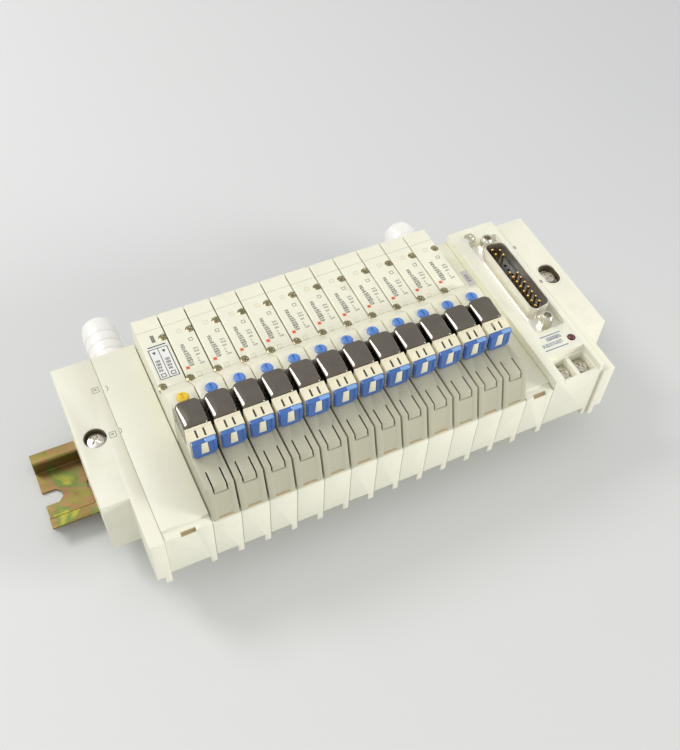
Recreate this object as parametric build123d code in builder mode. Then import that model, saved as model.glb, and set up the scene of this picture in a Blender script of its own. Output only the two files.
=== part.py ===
# Pneumatic valve island: plug-in valve stations side by side on a rail-mounted manifold, with a
# supply block and an end block at both ends and a multi-pin connector block at the right.
# X runs along the rail towards the connector, +Y points to the tube side and +Z is up.
# The origin is the middle of the rail's mounting face. All sizes are in millimetres.
from build123d import *

import os
from math import atan, ceil, degrees, radians, tan

# ---------------------------------------------------------------- stations along the rail
STATION_COUNT = 12
STATION_PITCH = 10.5
ROUND_SIDES = 10  # sides of the small rounds that every station repeats
END_BLOCK_WIDTH = 15.5
LEFT_SUPPLY_WIDTH = 17.4
RIGHT_SUPPLY_WIDTH = 12.0
CONNECTOR_BLOCK_WIDTH = 22.0
BLOCK_JOINT = 0.2  # gap between two stacked blocks

BANK_LENGTH = STATION_COUNT * STATION_PITCH
ISLAND_LENGTH = (
    2 * END_BLOCK_WIDTH
    + LEFT_SUPPLY_WIDTH
    + BANK_LENGTH
    + RIGHT_SUPPLY_WIDTH
    + CONNECTOR_BLOCK_WIDTH
)
LEFT_SUPPLY_X = -ISLAND_LENGTH / 2 + END_BLOCK_WIDTH
BANK_X = LEFT_SUPPLY_X + LEFT_SUPPLY_WIDTH
RIGHT_SUPPLY_X = BANK_X + BANK_LENGTH
CONNECTOR_X = RIGHT_SUPPLY_X + RIGHT_SUPPLY_WIDTH
RIGHT_END_X = CONNECTOR_X + CONNECTOR_BLOCK_WIDTH
STATION_LEFTS = [BANK_X + index * STATION_PITCH for index in range(STATION_COUNT)]

# ---------------------------------------------------------------- rail
RAIL_WIDTH = 35.0
RAIL_HEIGHT = 7.5
RAIL_SHEET = 1.0
RAIL_FLANGE = 4.0
RAIL_OUTER_BEND = 1.1
RAIL_INNER_BEND = 0.3
RAIL_OVERHANG = 18.0
RAIL_SLOT_LENGTH = 15.0
RAIL_SLOT_WIDTH = 6.2
RAIL_SLOT_CORNER = 1.9
RAIL_SLOT_PITCH = 25.0
RAIL_SLOT_START = 2.55  # the slot nearest the middle of the rail
RAIL_LENGTH = ISLAND_LENGTH + 2 * RAIL_OVERHANG
RAIL_CHANNEL = RAIL_WIDTH - 2 * RAIL_FLANGE  # outer width of the channel between the flanges

# ---------------------------------------------------------------- block section
BACK_Y = 27.4
FRONT_Y = -57.4
BASE_TOP_Z = 39.5
SUPPLY_RISE = 1.5
CONNECTOR_RISE = 5.5
FRONT_SKIRT_Z = 17.0
BACK_SKIRT_Z = 14.0
SADDLE_WALL = 3.7  # wall that hugs the rail's edge
SADDLE_DEPTH = 2.9  # how far that wall reaches below the flange tops
RAIL_CLEARANCE = 0.3
FOOT_Z = 12.5
FOOT_WIDTH = 2.4
FOOT_DEPTH = 3.0
LEDGE_DEPTH = 3.6
LEDGE_DROP = 1.0
LEDGE_SLOT = 5.4
LEDGE_SLOT_DEPTH = 1.2
SADDLE_HALF = RAIL_WIDTH / 2 + RAIL_CLEARANCE + SADDLE_WALL
GROOVE_HALF = RAIL_WIDTH / 2 + RAIL_CLEARANCE
SUPPLY_TOP_Z = BASE_TOP_Z + SUPPLY_RISE
CONNECTOR_TOP_Z = BASE_TOP_Z + CONNECTOR_RISE

# ---------------------------------------------------------------- valve on its station
BODY_WIDTH = 10.0
VALVE_BACK_Y = 27.1
VALVE_LENGTH = 34.3
VALVE_HEIGHT = 14.0
GASKET_THICKNESS = 0.5
GASKET_INSET = 1.2
PART_GAP = 0.3  # gap between a valve's joined parts along Y
TOP_CHAMFER = 0.3
SCREW_HEAD_RADIUS = 1.4
SCREW_HEAD_HEIGHT = 1.3
SCREW_CLEARANCE = 0.35
SCREW_RECESS_DEPTH = 2.2
SCREW_SIDE = 1.15  # screw centre from the body's side
FRONT_SCREW_SETBACK = 0.9  # screw centre behind the valve's front face
BACK_SCREW_Y = 15.6
BODY_INSET = (STATION_PITCH - BODY_WIDTH) / 2
VALVE_FRONT_Y = VALVE_BACK_Y - VALVE_LENGTH
VALVE_BOTTOM_Z = BASE_TOP_Z + GASKET_THICKNESS
VALVE_TOP_Z = VALVE_BOTTOM_Z + VALVE_HEIGHT
SCREW_SEAT_Z = VALVE_TOP_Z - SCREW_RECESS_DEPTH
SCREW_RECESS_RADIUS = SCREW_HEAD_RADIUS + SCREW_CLEARANCE

# ---------------------------------------------------------------- pilot part and its button
PILOT_LENGTH = 14.3
PILOT_RISE = 7.1
RAMP_LENGTH = 7.8
BUTTON_RADIUS = 2.15
BUTTON_CLEARANCE = 0.08
BUTTON_SETBACK = 3.1  # button centre behind the pilot body's front face
BUTTON_PROUD = 0.7
BUTTON_HEIGHT = 4.6
BUTTON_TRAVEL = 1.0
BUTTON_CHAMFER = 0.4
PILOT_BACK_Y = VALVE_FRONT_Y - PART_GAP
PILOT_FRONT_Y = PILOT_BACK_Y - PILOT_LENGTH
PILOT_TOP_Z = VALVE_TOP_Z + PILOT_RISE
BUTTON_Y = PILOT_FRONT_Y + BUTTON_SETBACK

# ---------------------------------------------------------------- solenoid can and its connector
CAN_WIDTH = 9.2
CAN_LENGTH = 11.4
CAN_HEIGHT = 10.1
CAN_LIFT = 0.5  # gap under the can, above the valve top's level
CAN_CORNER = 1.1
CAN_CHAMFER = 0.5
HOUSING_WIDTH = 9.3
HOUSING_LENGTH = 4.8
HOUSING_DROP = 0.4  # housing's top below the can's
HOUSING_FALL = 0.9  # fall of the housing's top towards the front
SLIT_WIDTH = 0.7
SLIT_LENGTH = 3.0
SLIT_SETBACK = 0.6
SLIT_DEPTH = 0.6
SLIT_OFFSET = 1.45  # slit's centre from the housing's middle
PLUG_WIDTH = 8.8
PLUG_LENGTH = 1.5
PLUG_CORNER = 1.4
WINDOW_WIDTH = 2.8
WINDOW_BOTTOM = 1.7  # window's sill above the plug's lower edge
WINDOW_HEAD = 1.0  # plug's top edge above the window
WINDOW_CLEARANCE = 0.1
WINDOW_TAPER = 0.3
CAN_BACK_Y = PILOT_FRONT_Y - PART_GAP
HOUSING_BACK_Y = CAN_BACK_Y - CAN_LENGTH - PART_GAP
HOUSING_FRONT_Y = HOUSING_BACK_Y - HOUSING_LENGTH
CAN_BOTTOM_Z = VALVE_TOP_Z + CAN_LIFT
CAN_TOP_Z = CAN_BOTTOM_Z + CAN_HEIGHT
HOUSING_TOP_Z = CAN_TOP_Z - HOUSING_DROP
PLUG_BACK_Y = HOUSING_FRONT_Y - WINDOW_CLEARANCE
PLUG_TOP_Z = HOUSING_TOP_Z - HOUSING_FALL
SILL_Z = CAN_BOTTOM_Z + WINDOW_BOTTOM

# ---------------------------------------------------------------- wiring cover and board under it
COVER_WIDTH = 9.8
COVER_WALL = 1.0
COVER_GAP = 0.2  # gap between the cover and the can above it
COVER_LEAN = 4.0  # how far the front wall leans out to its foot
COVER_SETBACK = 0.6  # cover's foot behind the block's front face
TONGUE_WIDTH = 5.4
TONGUE_LENGTH = 6.9  # on the top
TONGUE_DROP = 3.0  # down the front wall
TONGUE_SLOT = 0.5
NOTCH_WIDTH = 5.0
NOTCH_HEIGHT = 1.3
BOARD_THICKNESS = 1.6
BOARD_MARGIN = 1.3
BOARD_WIDTH = 7.2
COVER_BACK_Y = PILOT_FRONT_Y - PART_GAP
COVER_FOOT_Y = FRONT_Y + COVER_SETBACK
COVER_BEND_Y = COVER_FOOT_Y + COVER_LEAN
COVER_TOP_Z = CAN_BOTTOM_Z - COVER_GAP

# ---------------------------------------------------------------- tube fittings at the back
FITTING_WIDTH = 9.0
FITTING_HEIGHT = 21.0
FITTING_DEPTH = 9.0
FITTING_PROUD = 2.0
FITTING_CENTRE_Z = 26.8
FITTING_CLEARANCE = 0.1
TUBE_RADIUS = 2.05
TUBE_DEPTH = 9.5
TUBE_RISE = 10.4  # from one tube's centre up to the next

# ---------------------------------------------------------------- supply ports and their plugs
LEFT_PORT_OFFSET = 8.5
RIGHT_PORT_OFFSET = 5.8
PORT_Z = 22.0
STEM_RADIUS = 4.0
STEM_LENGTH = 8.0
STEM_CLEARANCE = 0.1
NECK_RADIUS = 5.0
NECK_LENGTH = 2.8
PLUG_RADIUS = 7.25
GROOVE_RADIUS = 6.1
RIM_LENGTH = 2.9
GROOVE_LENGTH = 1.9
RIM_COUNT = 5
DOME_LENGTH = 6.1
DOME_TIP_RADIUS = 5.9
PLUG_SIDES = 16

# ---------------------------------------------------------------- end blocks and rail clamps
FOOT_PLATE_WIDTH = 5.3
FOOT_PLATE_FRONT_Y = -58.4
END_FRONT_Y = -37.2
END_SKIRT_Z = 11.5
CLAMP_OFFSET = 8.8  # clamp screw's centre from the block's inner face
LEFT_CLAMP_Y = -8.4
RIGHT_CLAMP_Y = -6.0
CLAMP_RECESS_RADIUS = 4.2
CLAMP_RECESS_DEPTH = 3.5
OVAL_RECESS_LENGTH = 12.4
CLAMP_HEAD_RADIUS = 3.3
CLAMP_HEAD_HEIGHT = 2.5
CLAMP_SHANK_RADIUS = 1.9
CLAMP_BORE_CLEARANCE = 0.2
CROSS_LENGTH = 4.0
CROSS_WIDTH = 0.9
CROSS_DEPTH = 1.3
CLAMP_WIDTH = 8.0
CLAMP_SHEET = 1.6
CLAMP_LIP_GAP = 1.1  # between the clamp's lip and the rail's channel
CLAMP_REACH = 3.0  # clamp's tail behind its screw
CLAMP_PLATE_Z = 8.4
TAP_CLEARANCE = 0.02
CLAMP_TAP_DEPTH = 0.6  # screw's end past the clamp
POCKET_CLEARANCE = 0.3
CLAMP_LIP = RAIL_FLANGE + RAIL_CLEARANCE - CLAMP_LIP_GAP

# ---------------------------------------------------------------- connector block
DSUB_X = 12.8  # connector's centre from the block's left face
DSUB_Y = -6.8
FLANGE_WIDTH = 12.55
FLANGE_SHEET = 0.5
FLANGE_END = 3.0  # flange past each standoff's centre
FLANGE_RECESS_DEPTH = 3.0
FLANGE_CORNER = 1.0
FLANGE_CLEARANCE = 0.6
SHELL_LENGTH = 38.96  # inner length of the mating shell
SHELL_WIDTH = 8.36
SHELL_WALL = 0.4
SHELL_HEIGHT = 6.8
SHELL_CORNER = 2.4
SHELL_SLOPE = 10.0  # degrees of the shell's slanted sides
INSULATOR_PROUD = 1.7
INSULATOR_DEPTH = 4.0
PIN_RADIUS = 0.5
PIN_HEIGHT = 4.4
PIN_PITCH = 2.76
PIN_ROW_SPACING = 2.84
INSULATOR_CLEARANCE = 0.02
WIDE_ROW = (0, 1, 5, 6, 7, 8, 9, 10, 11, 12)  # pin places in use, from the tube side
NARROW_ROW = (0, 1, 5, 6, 7, 8, 9, 10, 11)
WIDE_ROW_PLACES = 13
PIN_SIDES = 6
STANDOFF_OFFSET = 4.04  # standoff's centre past the shell's end
STANDOFF_FLATS = 4.75
STANDOFF_HEIGHT = 6.2
STANDOFF_BORE = 1.3
STANDOFF_BORE_DEPTH = 3.0
LAMP_RADIUS = 1.6
LAMP_X = 17.5
LAMP_Y = -41.1
LAMP_DEPTH = 2.0
LAMP_PROUD = 0.5
LAMP_CLEARANCE = 0.08
SIDE_RECESS_RADIUS = 2.5
SIDE_RECESS_DEPTH = 1.5
SIDE_RECESS_X = 8.6
SIDE_RECESS_Y = 22.5
STANDOFF_SPAN = SHELL_LENGTH + 2 * STANDOFF_OFFSET
FLANGE_LENGTH = STANDOFF_SPAN + 2 * FLANGE_END

# ---------------------------------------------------------------- power terminals
TERMINAL_LEFT = 3.8  # recess's left wall from the block's left face
TERMINAL_WIDTH = 16.2
TERMINAL_LENGTH = 11.4
TERMINAL_LIP = 1.4
TERMINAL_STEP = 3.0
CELL_WIDTH = 6.7
CELL_LENGTH = 9.0
CELL_DEPTH = 4.6
DIVIDER = 1.6
TERMINAL_HEAD_RADIUS = 2.6
TERMINAL_HEAD_HEIGHT = 1.8
TERMINAL_PLATE = 0.8


# ---------------------------------------------------------------- shared forms
def section_points(top_z):
    """Side view of a stacked block that sits over the rail, as points in Y and Z."""
    saddle_z = RAIL_HEIGHT - SADDLE_DEPTH
    return [
        (BACK_Y, BACK_SKIRT_Z),
        (BACK_Y, top_z),
        (FRONT_Y, top_z),
        (FRONT_Y, FRONT_SKIRT_Z),
        (-SADDLE_HALF, FRONT_SKIRT_Z),
        (-SADDLE_HALF, saddle_z),
        (-GROOVE_HALF, saddle_z),
        (-GROOVE_HALF, RAIL_HEIGHT),
        (GROOVE_HALF, RAIL_HEIGHT),
        (GROOVE_HALF, saddle_z),
        (SADDLE_HALF, saddle_z),
        (SADDLE_HALF, BACK_SKIRT_Z),
    ]


def stacked_block(left_x, width, top_z):
    """One block of the stack, with the foot tab at its front right corner."""
    inner_left = left_x + BLOCK_JOINT / 2
    inner_width = width - BLOCK_JOINT
    with BuildPart() as block:
        with BuildSketch(Plane.YZ.offset(inner_left)):
            Polygon(*section_points(top_z), align=None)
        extrude(amount=inner_width)
        with BuildSketch(Plane.XY.offset(FOOT_Z)):
            with Locations((inner_left + inner_width, FRONT_Y)):
                Rectangle(FOOT_WIDTH, FOOT_DEPTH, align=(Align.MAX, Align.MIN))
        extrude(amount=FRONT_SKIRT_Z - FOOT_Z)
    return block.part


def supply_block(left_x, width, port_x):
    """Supply and exhaust block: stepped front edge, and a port at the back for its plug."""
    middle_x = left_x + width / 2
    ledge_z = SUPPLY_TOP_Z - LEDGE_DROP
    with BuildPart() as block:
        add(stacked_block(left_x, width, SUPPLY_TOP_Z))
        with BuildSketch(Plane.XY.offset(SUPPLY_TOP_Z)):
            with Locations((middle_x, FRONT_Y)):
                Rectangle(width, LEDGE_DEPTH, align=(Align.CENTER, Align.MIN))
        extrude(amount=-LEDGE_DROP, mode=Mode.SUBTRACT)
        with BuildSketch(Plane.XY.offset(ledge_z)):
            with Locations((middle_x, FRONT_Y)):
                Rectangle(LEDGE_SLOT, LEDGE_SLOT_DEPTH, align=(Align.CENTER, Align.MIN))
        extrude(amount=-LEDGE_SLOT_DEPTH, mode=Mode.SUBTRACT)
        with BuildSketch(Plane.XZ.offset(-BACK_Y)):
            with Locations((port_x, PORT_Z)):
                RegularPolygon(STEM_RADIUS + STEM_CLEARANCE, PLUG_SIDES)
        extrude(amount=STEM_LENGTH + STEM_CLEARANCE, mode=Mode.SUBTRACT)
    return block.part


def dsub_outline(grow):
    """D-shaped face with its wide side to the left, larger than the mating hollow by grow."""
    half_width = SHELL_WIDTH / 2 + grow
    half_wide = SHELL_LENGTH / 2 + grow
    half_narrow = half_wide - 2 * half_width * tan(radians(SHELL_SLOPE))
    with BuildSketch() as outline:
        with Locations((DSUB_CENTRE_X, DSUB_Y)):
            Polygon(
                (-half_width, -half_wide),
                (half_width, -half_narrow),
                (half_width, half_narrow),
                (-half_width, half_wide),
                align=None,
            )
        fillet(outline.vertices(), SHELL_CORNER + grow)
    return outline.sketch


def save(part, name):
    """Names a finished piece and writes it to its own file."""
    part.label = name
    export_step(part, f"parts/{name}.step")


def save_row(piece, name):
    """Writes one file with a copy of the piece at every station."""
    with BuildPart() as row:
        with Locations(*[(left_x, 0, 0) for left_x in STATION_LEFTS]):
            add(piece)
    save(row.part, name)


def save_each(piece, name):
    """Writes a file for each station's own copy of the piece."""
    for index, left_x in enumerate(STATION_LEFTS):
        save(piece.moved(Location((left_x, 0, 0))), f"{name}_{index + 1:02d}")


os.makedirs("parts", exist_ok=True)

# ---------------------------------------------------------------- rail
half_channel = RAIL_CHANNEL / 2
half_rail = RAIL_WIDTH / 2
flange_z = RAIL_HEIGHT - RAIL_SHEET
with BuildPart() as din_rail:
    with BuildSketch(Plane.YZ.offset(-RAIL_LENGTH / 2)) as rail_section:
        Polygon(
            (-half_channel, 0),
            (half_channel, 0),
            (half_channel, flange_z),
            (half_rail, flange_z),
            (half_rail, RAIL_HEIGHT),
            (half_channel - RAIL_SHEET, RAIL_HEIGHT),
            (half_channel - RAIL_SHEET, RAIL_SHEET),
            (RAIL_SHEET - half_channel, RAIL_SHEET),
            (RAIL_SHEET - half_channel, RAIL_HEIGHT),
            (-half_rail, RAIL_HEIGHT),
            (-half_rail, flange_z),
            (-half_channel, flange_z),
            align=None,
        )
        bends = [v for v in rail_section.vertices() if abs(v.X) < half_rail - RAIL_SHEET / 2]
        inner_bends = [v for v in bends if RAIL_SHEET / 2 < v.Y < RAIL_HEIGHT - RAIL_SHEET / 2]
        outer_bends = [v for v in bends if v not in inner_bends]
        fillet(outer_bends, RAIL_OUTER_BEND)
        sharp = [v for v in rail_section.vertices() if (v.X, v.Y) in [(w.X, w.Y) for w in inner_bends]]
        fillet(sharp, RAIL_INNER_BEND)
    extrude(amount=RAIL_LENGTH)
    slot_reach = ceil(RAIL_LENGTH / 2 / RAIL_SLOT_PITCH)
    slot_steps = range(-slot_reach, slot_reach + 1)
    with BuildSketch(Plane.XY):
        with Locations(*[(RAIL_SLOT_START + step * RAIL_SLOT_PITCH, 0) for step in slot_steps]):
            slots = Rectangle(RAIL_SLOT_LENGTH, RAIL_SLOT_WIDTH)
        chamfer(slots.vertices(), RAIL_SLOT_CORNER)
    extrude(amount=RAIL_SHEET, mode=Mode.SUBTRACT)
save(din_rail.part, "din_rail")

# ---------------------------------------------------------------- one station, its left side at X = 0
middle = STATION_PITCH / 2

# Manifold block with the pocket for its pair of tube fittings.
with BuildPart() as manifold_block:
    add(stacked_block(0, STATION_PITCH, BASE_TOP_Z))
    with BuildSketch(Plane.XZ.offset(-BACK_Y)):
        with Locations((middle, FITTING_CENTRE_Z)):
            Rectangle(
                FITTING_WIDTH + 2 * FITTING_CLEARANCE,
                FITTING_HEIGHT + 2 * FITTING_CLEARANCE,
            )
    extrude(amount=FITTING_DEPTH, mode=Mode.SUBTRACT)
save_row(manifold_block.part, "manifold_blocks")

fitting_face = Plane.XZ.offset(-BACK_Y - FITTING_PROUD)
with BuildPart() as tube_fitting:
    with BuildSketch(fitting_face):
        with Locations((middle, FITTING_CENTRE_Z)):
            Rectangle(FITTING_WIDTH, FITTING_HEIGHT)
    extrude(amount=FITTING_DEPTH + FITTING_PROUD)
    with BuildSketch(fitting_face):
        with Locations((middle, FITTING_CENTRE_Z)):
            with GridLocations(0, TUBE_RISE, 1, 2):
                RegularPolygon(TUBE_RADIUS, ROUND_SIDES)
    extrude(amount=TUBE_DEPTH, mode=Mode.SUBTRACT)
save_row(tube_fitting.part, "tube_fittings")

# Valve body, seated on its gasket, with a half-open screw recess at each end.
screw_places = [
    (BODY_INSET + SCREW_SIDE, VALVE_FRONT_Y + FRONT_SCREW_SETBACK),
    (BODY_INSET + BODY_WIDTH - SCREW_SIDE, BACK_SCREW_Y),
]
with BuildPart() as valve_body:
    with BuildSketch(Plane.XY.offset(VALVE_BOTTOM_Z)):
        with Locations((middle, VALVE_FRONT_Y)):
            Rectangle(BODY_WIDTH, VALVE_LENGTH, align=(Align.CENTER, Align.MIN))
    extrude(amount=VALVE_TOP_Z - VALVE_BOTTOM_Z)
    chamfer(valve_body.faces().sort_by(Axis.Z)[-1].edges(), TOP_CHAMFER)
    with BuildSketch(Plane.XY.offset(SCREW_SEAT_Z)):
        with Locations(*screw_places):
            RegularPolygon(SCREW_RECESS_RADIUS, ROUND_SIDES)
    extrude(amount=SCREW_RECESS_DEPTH, mode=Mode.SUBTRACT)
save_each(valve_body.part, "valve_body")

with BuildPart() as valve_gasket:
    with BuildSketch(Plane.XY.offset(BASE_TOP_Z)):
        with Locations((middle, VALVE_FRONT_Y + GASKET_INSET)):
            Rectangle(
                BODY_WIDTH - 2 * GASKET_INSET,
                VALVE_LENGTH - 2 * GASKET_INSET,
                align=(Align.CENTER, Align.MIN),
            )
    extrude(amount=GASKET_THICKNESS)
save_row(valve_gasket.part, "valve_gaskets")

with BuildPart() as valve_screw_pair:
    with BuildSketch(Plane.XY.offset(SCREW_SEAT_Z)):
        with Locations(*screw_places):
            RegularPolygon(SCREW_HEAD_RADIUS, ROUND_SIDES)
    extrude(amount=SCREW_HEAD_HEIGHT)
save_row(valve_screw_pair.part, "valve_screws")

# Pilot body: a ramp up from the valve to the plateau that holds the override button.
with BuildPart() as pilot_body:
    with BuildSketch(Plane.YZ.offset(BODY_INSET)):
        Polygon(
            (PILOT_BACK_Y, BASE_TOP_Z),
            (PILOT_BACK_Y, VALVE_TOP_Z),
            (PILOT_BACK_Y - RAMP_LENGTH, PILOT_TOP_Z),
            (PILOT_FRONT_Y, PILOT_TOP_Z),
            (PILOT_FRONT_Y, BASE_TOP_Z),
            align=None,
        )
    extrude(amount=BODY_WIDTH)
    with BuildSketch(Plane.XY.offset(PILOT_TOP_Z)):
        with Locations((middle, BUTTON_Y)):
            RegularPolygon(BUTTON_RADIUS + BUTTON_CLEARANCE, ROUND_SIDES)
    extrude(amount=BUTTON_PROUD - BUTTON_HEIGHT - BUTTON_TRAVEL, mode=Mode.SUBTRACT)
    with BuildSketch(Plane.XY.offset(SCREW_SEAT_Z)):
        with Locations(screw_places[0]):
            RegularPolygon(SCREW_RECESS_RADIUS, ROUND_SIDES)
    extrude(amount=PILOT_TOP_Z - SCREW_SEAT_Z, mode=Mode.SUBTRACT)
save_row(pilot_body.part, "pilot_bodies")

with BuildPart() as override_button:
    with BuildSketch(Plane.XY.offset(PILOT_TOP_Z + BUTTON_PROUD)):
        with Locations((middle, BUTTON_Y)):
            RegularPolygon(BUTTON_RADIUS, ROUND_SIDES)
    extrude(amount=-BUTTON_HEIGHT)
    chamfer(override_button.faces().sort_by(Axis.Z)[-1].edges(), BUTTON_CHAMFER)
save_each(override_button.part, "override_button")

# Drawn metal can over the solenoid.
with BuildPart() as pilot_cap:
    with BuildSketch(Plane.XY.offset(CAN_BOTTOM_Z)):
        with Locations((middle, CAN_BACK_Y)):
            can_outline = Rectangle(CAN_WIDTH, CAN_LENGTH, align=(Align.CENTER, Align.MAX))
        chamfer(can_outline.vertices(), CAN_CORNER)
    extrude(amount=CAN_TOP_Z - CAN_BOTTOM_Z)
    chamfer(pilot_cap.faces().sort_by(Axis.Z)[-1].edges(), CAN_CHAMFER)
save_row(pilot_cap.part, "pilot_caps")

# Connector at the can's front: the housing's tongue shows through the plug's window.


def window_face(grow):
    """The plug's window in the view from the front, narrower at its head, larger by grow."""
    half_sill = WINDOW_WIDTH / 2 + grow
    half_head = half_sill - WINDOW_TAPER
    return Polygon(
        (middle - half_sill, SILL_Z - grow),
        (middle + half_sill, SILL_Z - grow),
        (middle + half_head, PLUG_TOP_Z - WINDOW_HEAD + grow),
        (middle - half_head, PLUG_TOP_Z - WINDOW_HEAD + grow),
        align=None,
    )


with BuildPart() as connector_housing:
    with BuildSketch(Plane.YZ.offset(middle - HOUSING_WIDTH / 2)):
        Polygon(
            (HOUSING_BACK_Y, CAN_BOTTOM_Z),
            (HOUSING_BACK_Y, HOUSING_TOP_Z),
            (HOUSING_FRONT_Y, HOUSING_TOP_Z - HOUSING_FALL),
            (HOUSING_FRONT_Y, CAN_BOTTOM_Z),
            align=None,
        )
    extrude(amount=HOUSING_WIDTH)
    with BuildSketch(Plane.XZ.offset(-HOUSING_FRONT_Y)):
        window_face(0)
    extrude(amount=PLUG_LENGTH)
    with BuildSketch(Plane.XY.offset(HOUSING_TOP_Z)):
        with Locations((middle, HOUSING_FRONT_Y + SLIT_SETBACK)):
            with GridLocations(2 * SLIT_OFFSET, 0, 2, 1):
                Rectangle(SLIT_WIDTH, SLIT_LENGTH, align=(Align.CENTER, Align.MIN))
    extrude(amount=-HOUSING_FALL - SLIT_DEPTH, mode=Mode.SUBTRACT)
save_row(connector_housing.part, "connector_housings")

half_plug = PLUG_WIDTH / 2
with BuildPart() as connector_plug:
    with BuildSketch(Plane.XZ.offset(-PLUG_BACK_Y)):
        Polygon(
            (middle - half_plug, PLUG_TOP_Z),
            (middle - half_plug, CAN_BOTTOM_Z + PLUG_CORNER),
            (middle - half_plug + PLUG_CORNER, CAN_BOTTOM_Z),
            (middle + half_plug - PLUG_CORNER, CAN_BOTTOM_Z),
            (middle + half_plug, CAN_BOTTOM_Z + PLUG_CORNER),
            (middle + half_plug, PLUG_TOP_Z),
            align=None,
        )
    extrude(amount=PLUG_LENGTH)
    with BuildSketch(Plane.XZ.offset(-PLUG_BACK_Y)):
        window_face(WINDOW_CLEARANCE)
    extrude(amount=PLUG_LENGTH, mode=Mode.SUBTRACT)
save_row(connector_plug.part, "connector_plugs")

# Wiring cover: a thin shell, open below, with a springy tongue that hangs from its top over the bend.
tongue_back_y = COVER_BEND_Y + TONGUE_LENGTH
tongue_run = TONGUE_LENGTH + COVER_LEAN * TONGUE_DROP / (COVER_TOP_Z - BASE_TOP_Z)
side_slot_x = (TONGUE_WIDTH - TONGUE_SLOT) / 2
with BuildPart() as wiring_cover:
    with BuildSketch(Plane.YZ.offset(middle - COVER_WIDTH / 2)):
        Polygon(
            (COVER_BACK_Y, BASE_TOP_Z),
            (COVER_BACK_Y, COVER_TOP_Z),
            (COVER_BEND_Y, COVER_TOP_Z),
            (COVER_FOOT_Y, BASE_TOP_Z),
            align=None,
        )
    extrude(amount=COVER_WIDTH)
    with BuildSketch(Plane.YZ.offset(middle - COVER_WIDTH / 2 + COVER_WALL)):
        Polygon(
            (COVER_BACK_Y - COVER_WALL, BASE_TOP_Z),
            (COVER_BACK_Y - COVER_WALL, COVER_TOP_Z - COVER_WALL),
            (COVER_BEND_Y + COVER_WALL, COVER_TOP_Z - COVER_WALL),
            (COVER_FOOT_Y + COVER_WALL, BASE_TOP_Z),
            align=None,
        )
    extrude(amount=COVER_WIDTH - 2 * COVER_WALL, mode=Mode.SUBTRACT)
    with BuildSketch(Plane.XY.offset(COVER_TOP_Z)):
        for side in (-1, 1):
            with Locations((middle + side * side_slot_x, tongue_back_y)):
                Rectangle(TONGUE_SLOT, tongue_run, align=(Align.CENTER, Align.MAX))
    extrude(amount=-TONGUE_DROP, mode=Mode.SUBTRACT)
    with BuildSketch(Plane.XZ.offset(-COVER_BEND_Y - COVER_WALL)):
        with Locations((middle, COVER_TOP_Z - TONGUE_DROP)):
            Rectangle(TONGUE_WIDTH, TONGUE_SLOT)
    extrude(amount=COVER_LEAN + COVER_WALL, mode=Mode.SUBTRACT)
    with BuildSketch(Plane.XY.offset(BASE_TOP_Z)):
        with Locations((middle, COVER_FOOT_Y)):
            Rectangle(NOTCH_WIDTH, 2 * COVER_WALL, align=(Align.CENTER, Align.MIN))
    extrude(amount=NOTCH_HEIGHT, mode=Mode.SUBTRACT)
save_each(wiring_cover.part, "wiring_cover")

# Wiring board of each station, lying on the manifold block inside the cover.
board_front_y = COVER_FOOT_Y + COVER_WALL + BOARD_MARGIN
board_length = COVER_BACK_Y - COVER_WALL - BOARD_MARGIN - board_front_y
with BuildPart() as wiring_board:
    with BuildSketch(Plane.XY.offset(BASE_TOP_Z)):
        with Locations((middle, board_front_y)):
            Rectangle(BOARD_WIDTH, board_length, align=(Align.CENTER, Align.MIN))
    extrude(amount=BOARD_THICKNESS)
save_row(wiring_board.part, "wiring_boards")

# ---------------------------------------------------------------- supply blocks and port plugs
left_port_x = LEFT_SUPPLY_X + LEFT_PORT_OFFSET
right_port_x = RIGHT_SUPPLY_X + RIGHT_PORT_OFFSET
save(supply_block(LEFT_SUPPLY_X, LEFT_SUPPLY_WIDTH, left_port_x), "left_supply_block")
save(supply_block(RIGHT_SUPPLY_X, RIGHT_SUPPLY_WIDTH, right_port_x), "right_supply_block")

rim_pitch = RIM_LENGTH + GROOVE_LENGTH
rims_end_y = NECK_LENGTH + RIM_COUNT * rim_pitch - GROOVE_LENGTH
dome_taper = degrees(atan((PLUG_RADIUS - DOME_TIP_RADIUS) / DOME_LENGTH))
with BuildPart() as port_plug:
    with BuildSketch(Plane.XZ.offset(STEM_LENGTH)):
        RegularPolygon(STEM_RADIUS, PLUG_SIDES)
    extrude(amount=-STEM_LENGTH)
    with BuildSketch(Plane.XZ):
        RegularPolygon(NECK_RADIUS, PLUG_SIDES)
    extrude(amount=-NECK_LENGTH)
    with BuildSketch(Plane.XZ.offset(-NECK_LENGTH)):
        RegularPolygon(GROOVE_RADIUS, PLUG_SIDES)
    extrude(amount=NECK_LENGTH - rims_end_y)
    for rim in range(RIM_COUNT):
        with BuildSketch(Plane.XZ.offset(-NECK_LENGTH - rim * rim_pitch)):
            RegularPolygon(PLUG_RADIUS, PLUG_SIDES)
        extrude(amount=-RIM_LENGTH)
    with BuildSketch(Plane.XZ.offset(-rims_end_y)):
        RegularPolygon(PLUG_RADIUS, PLUG_SIDES)
    extrude(amount=-DOME_LENGTH, taper=dome_taper)
with BuildPart() as port_plugs:
    with Locations((left_port_x, BACK_Y, PORT_Z), (right_port_x, BACK_Y, PORT_Z)):
        add(port_plug.part)
save(port_plugs.part, "port_plugs")

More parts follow.
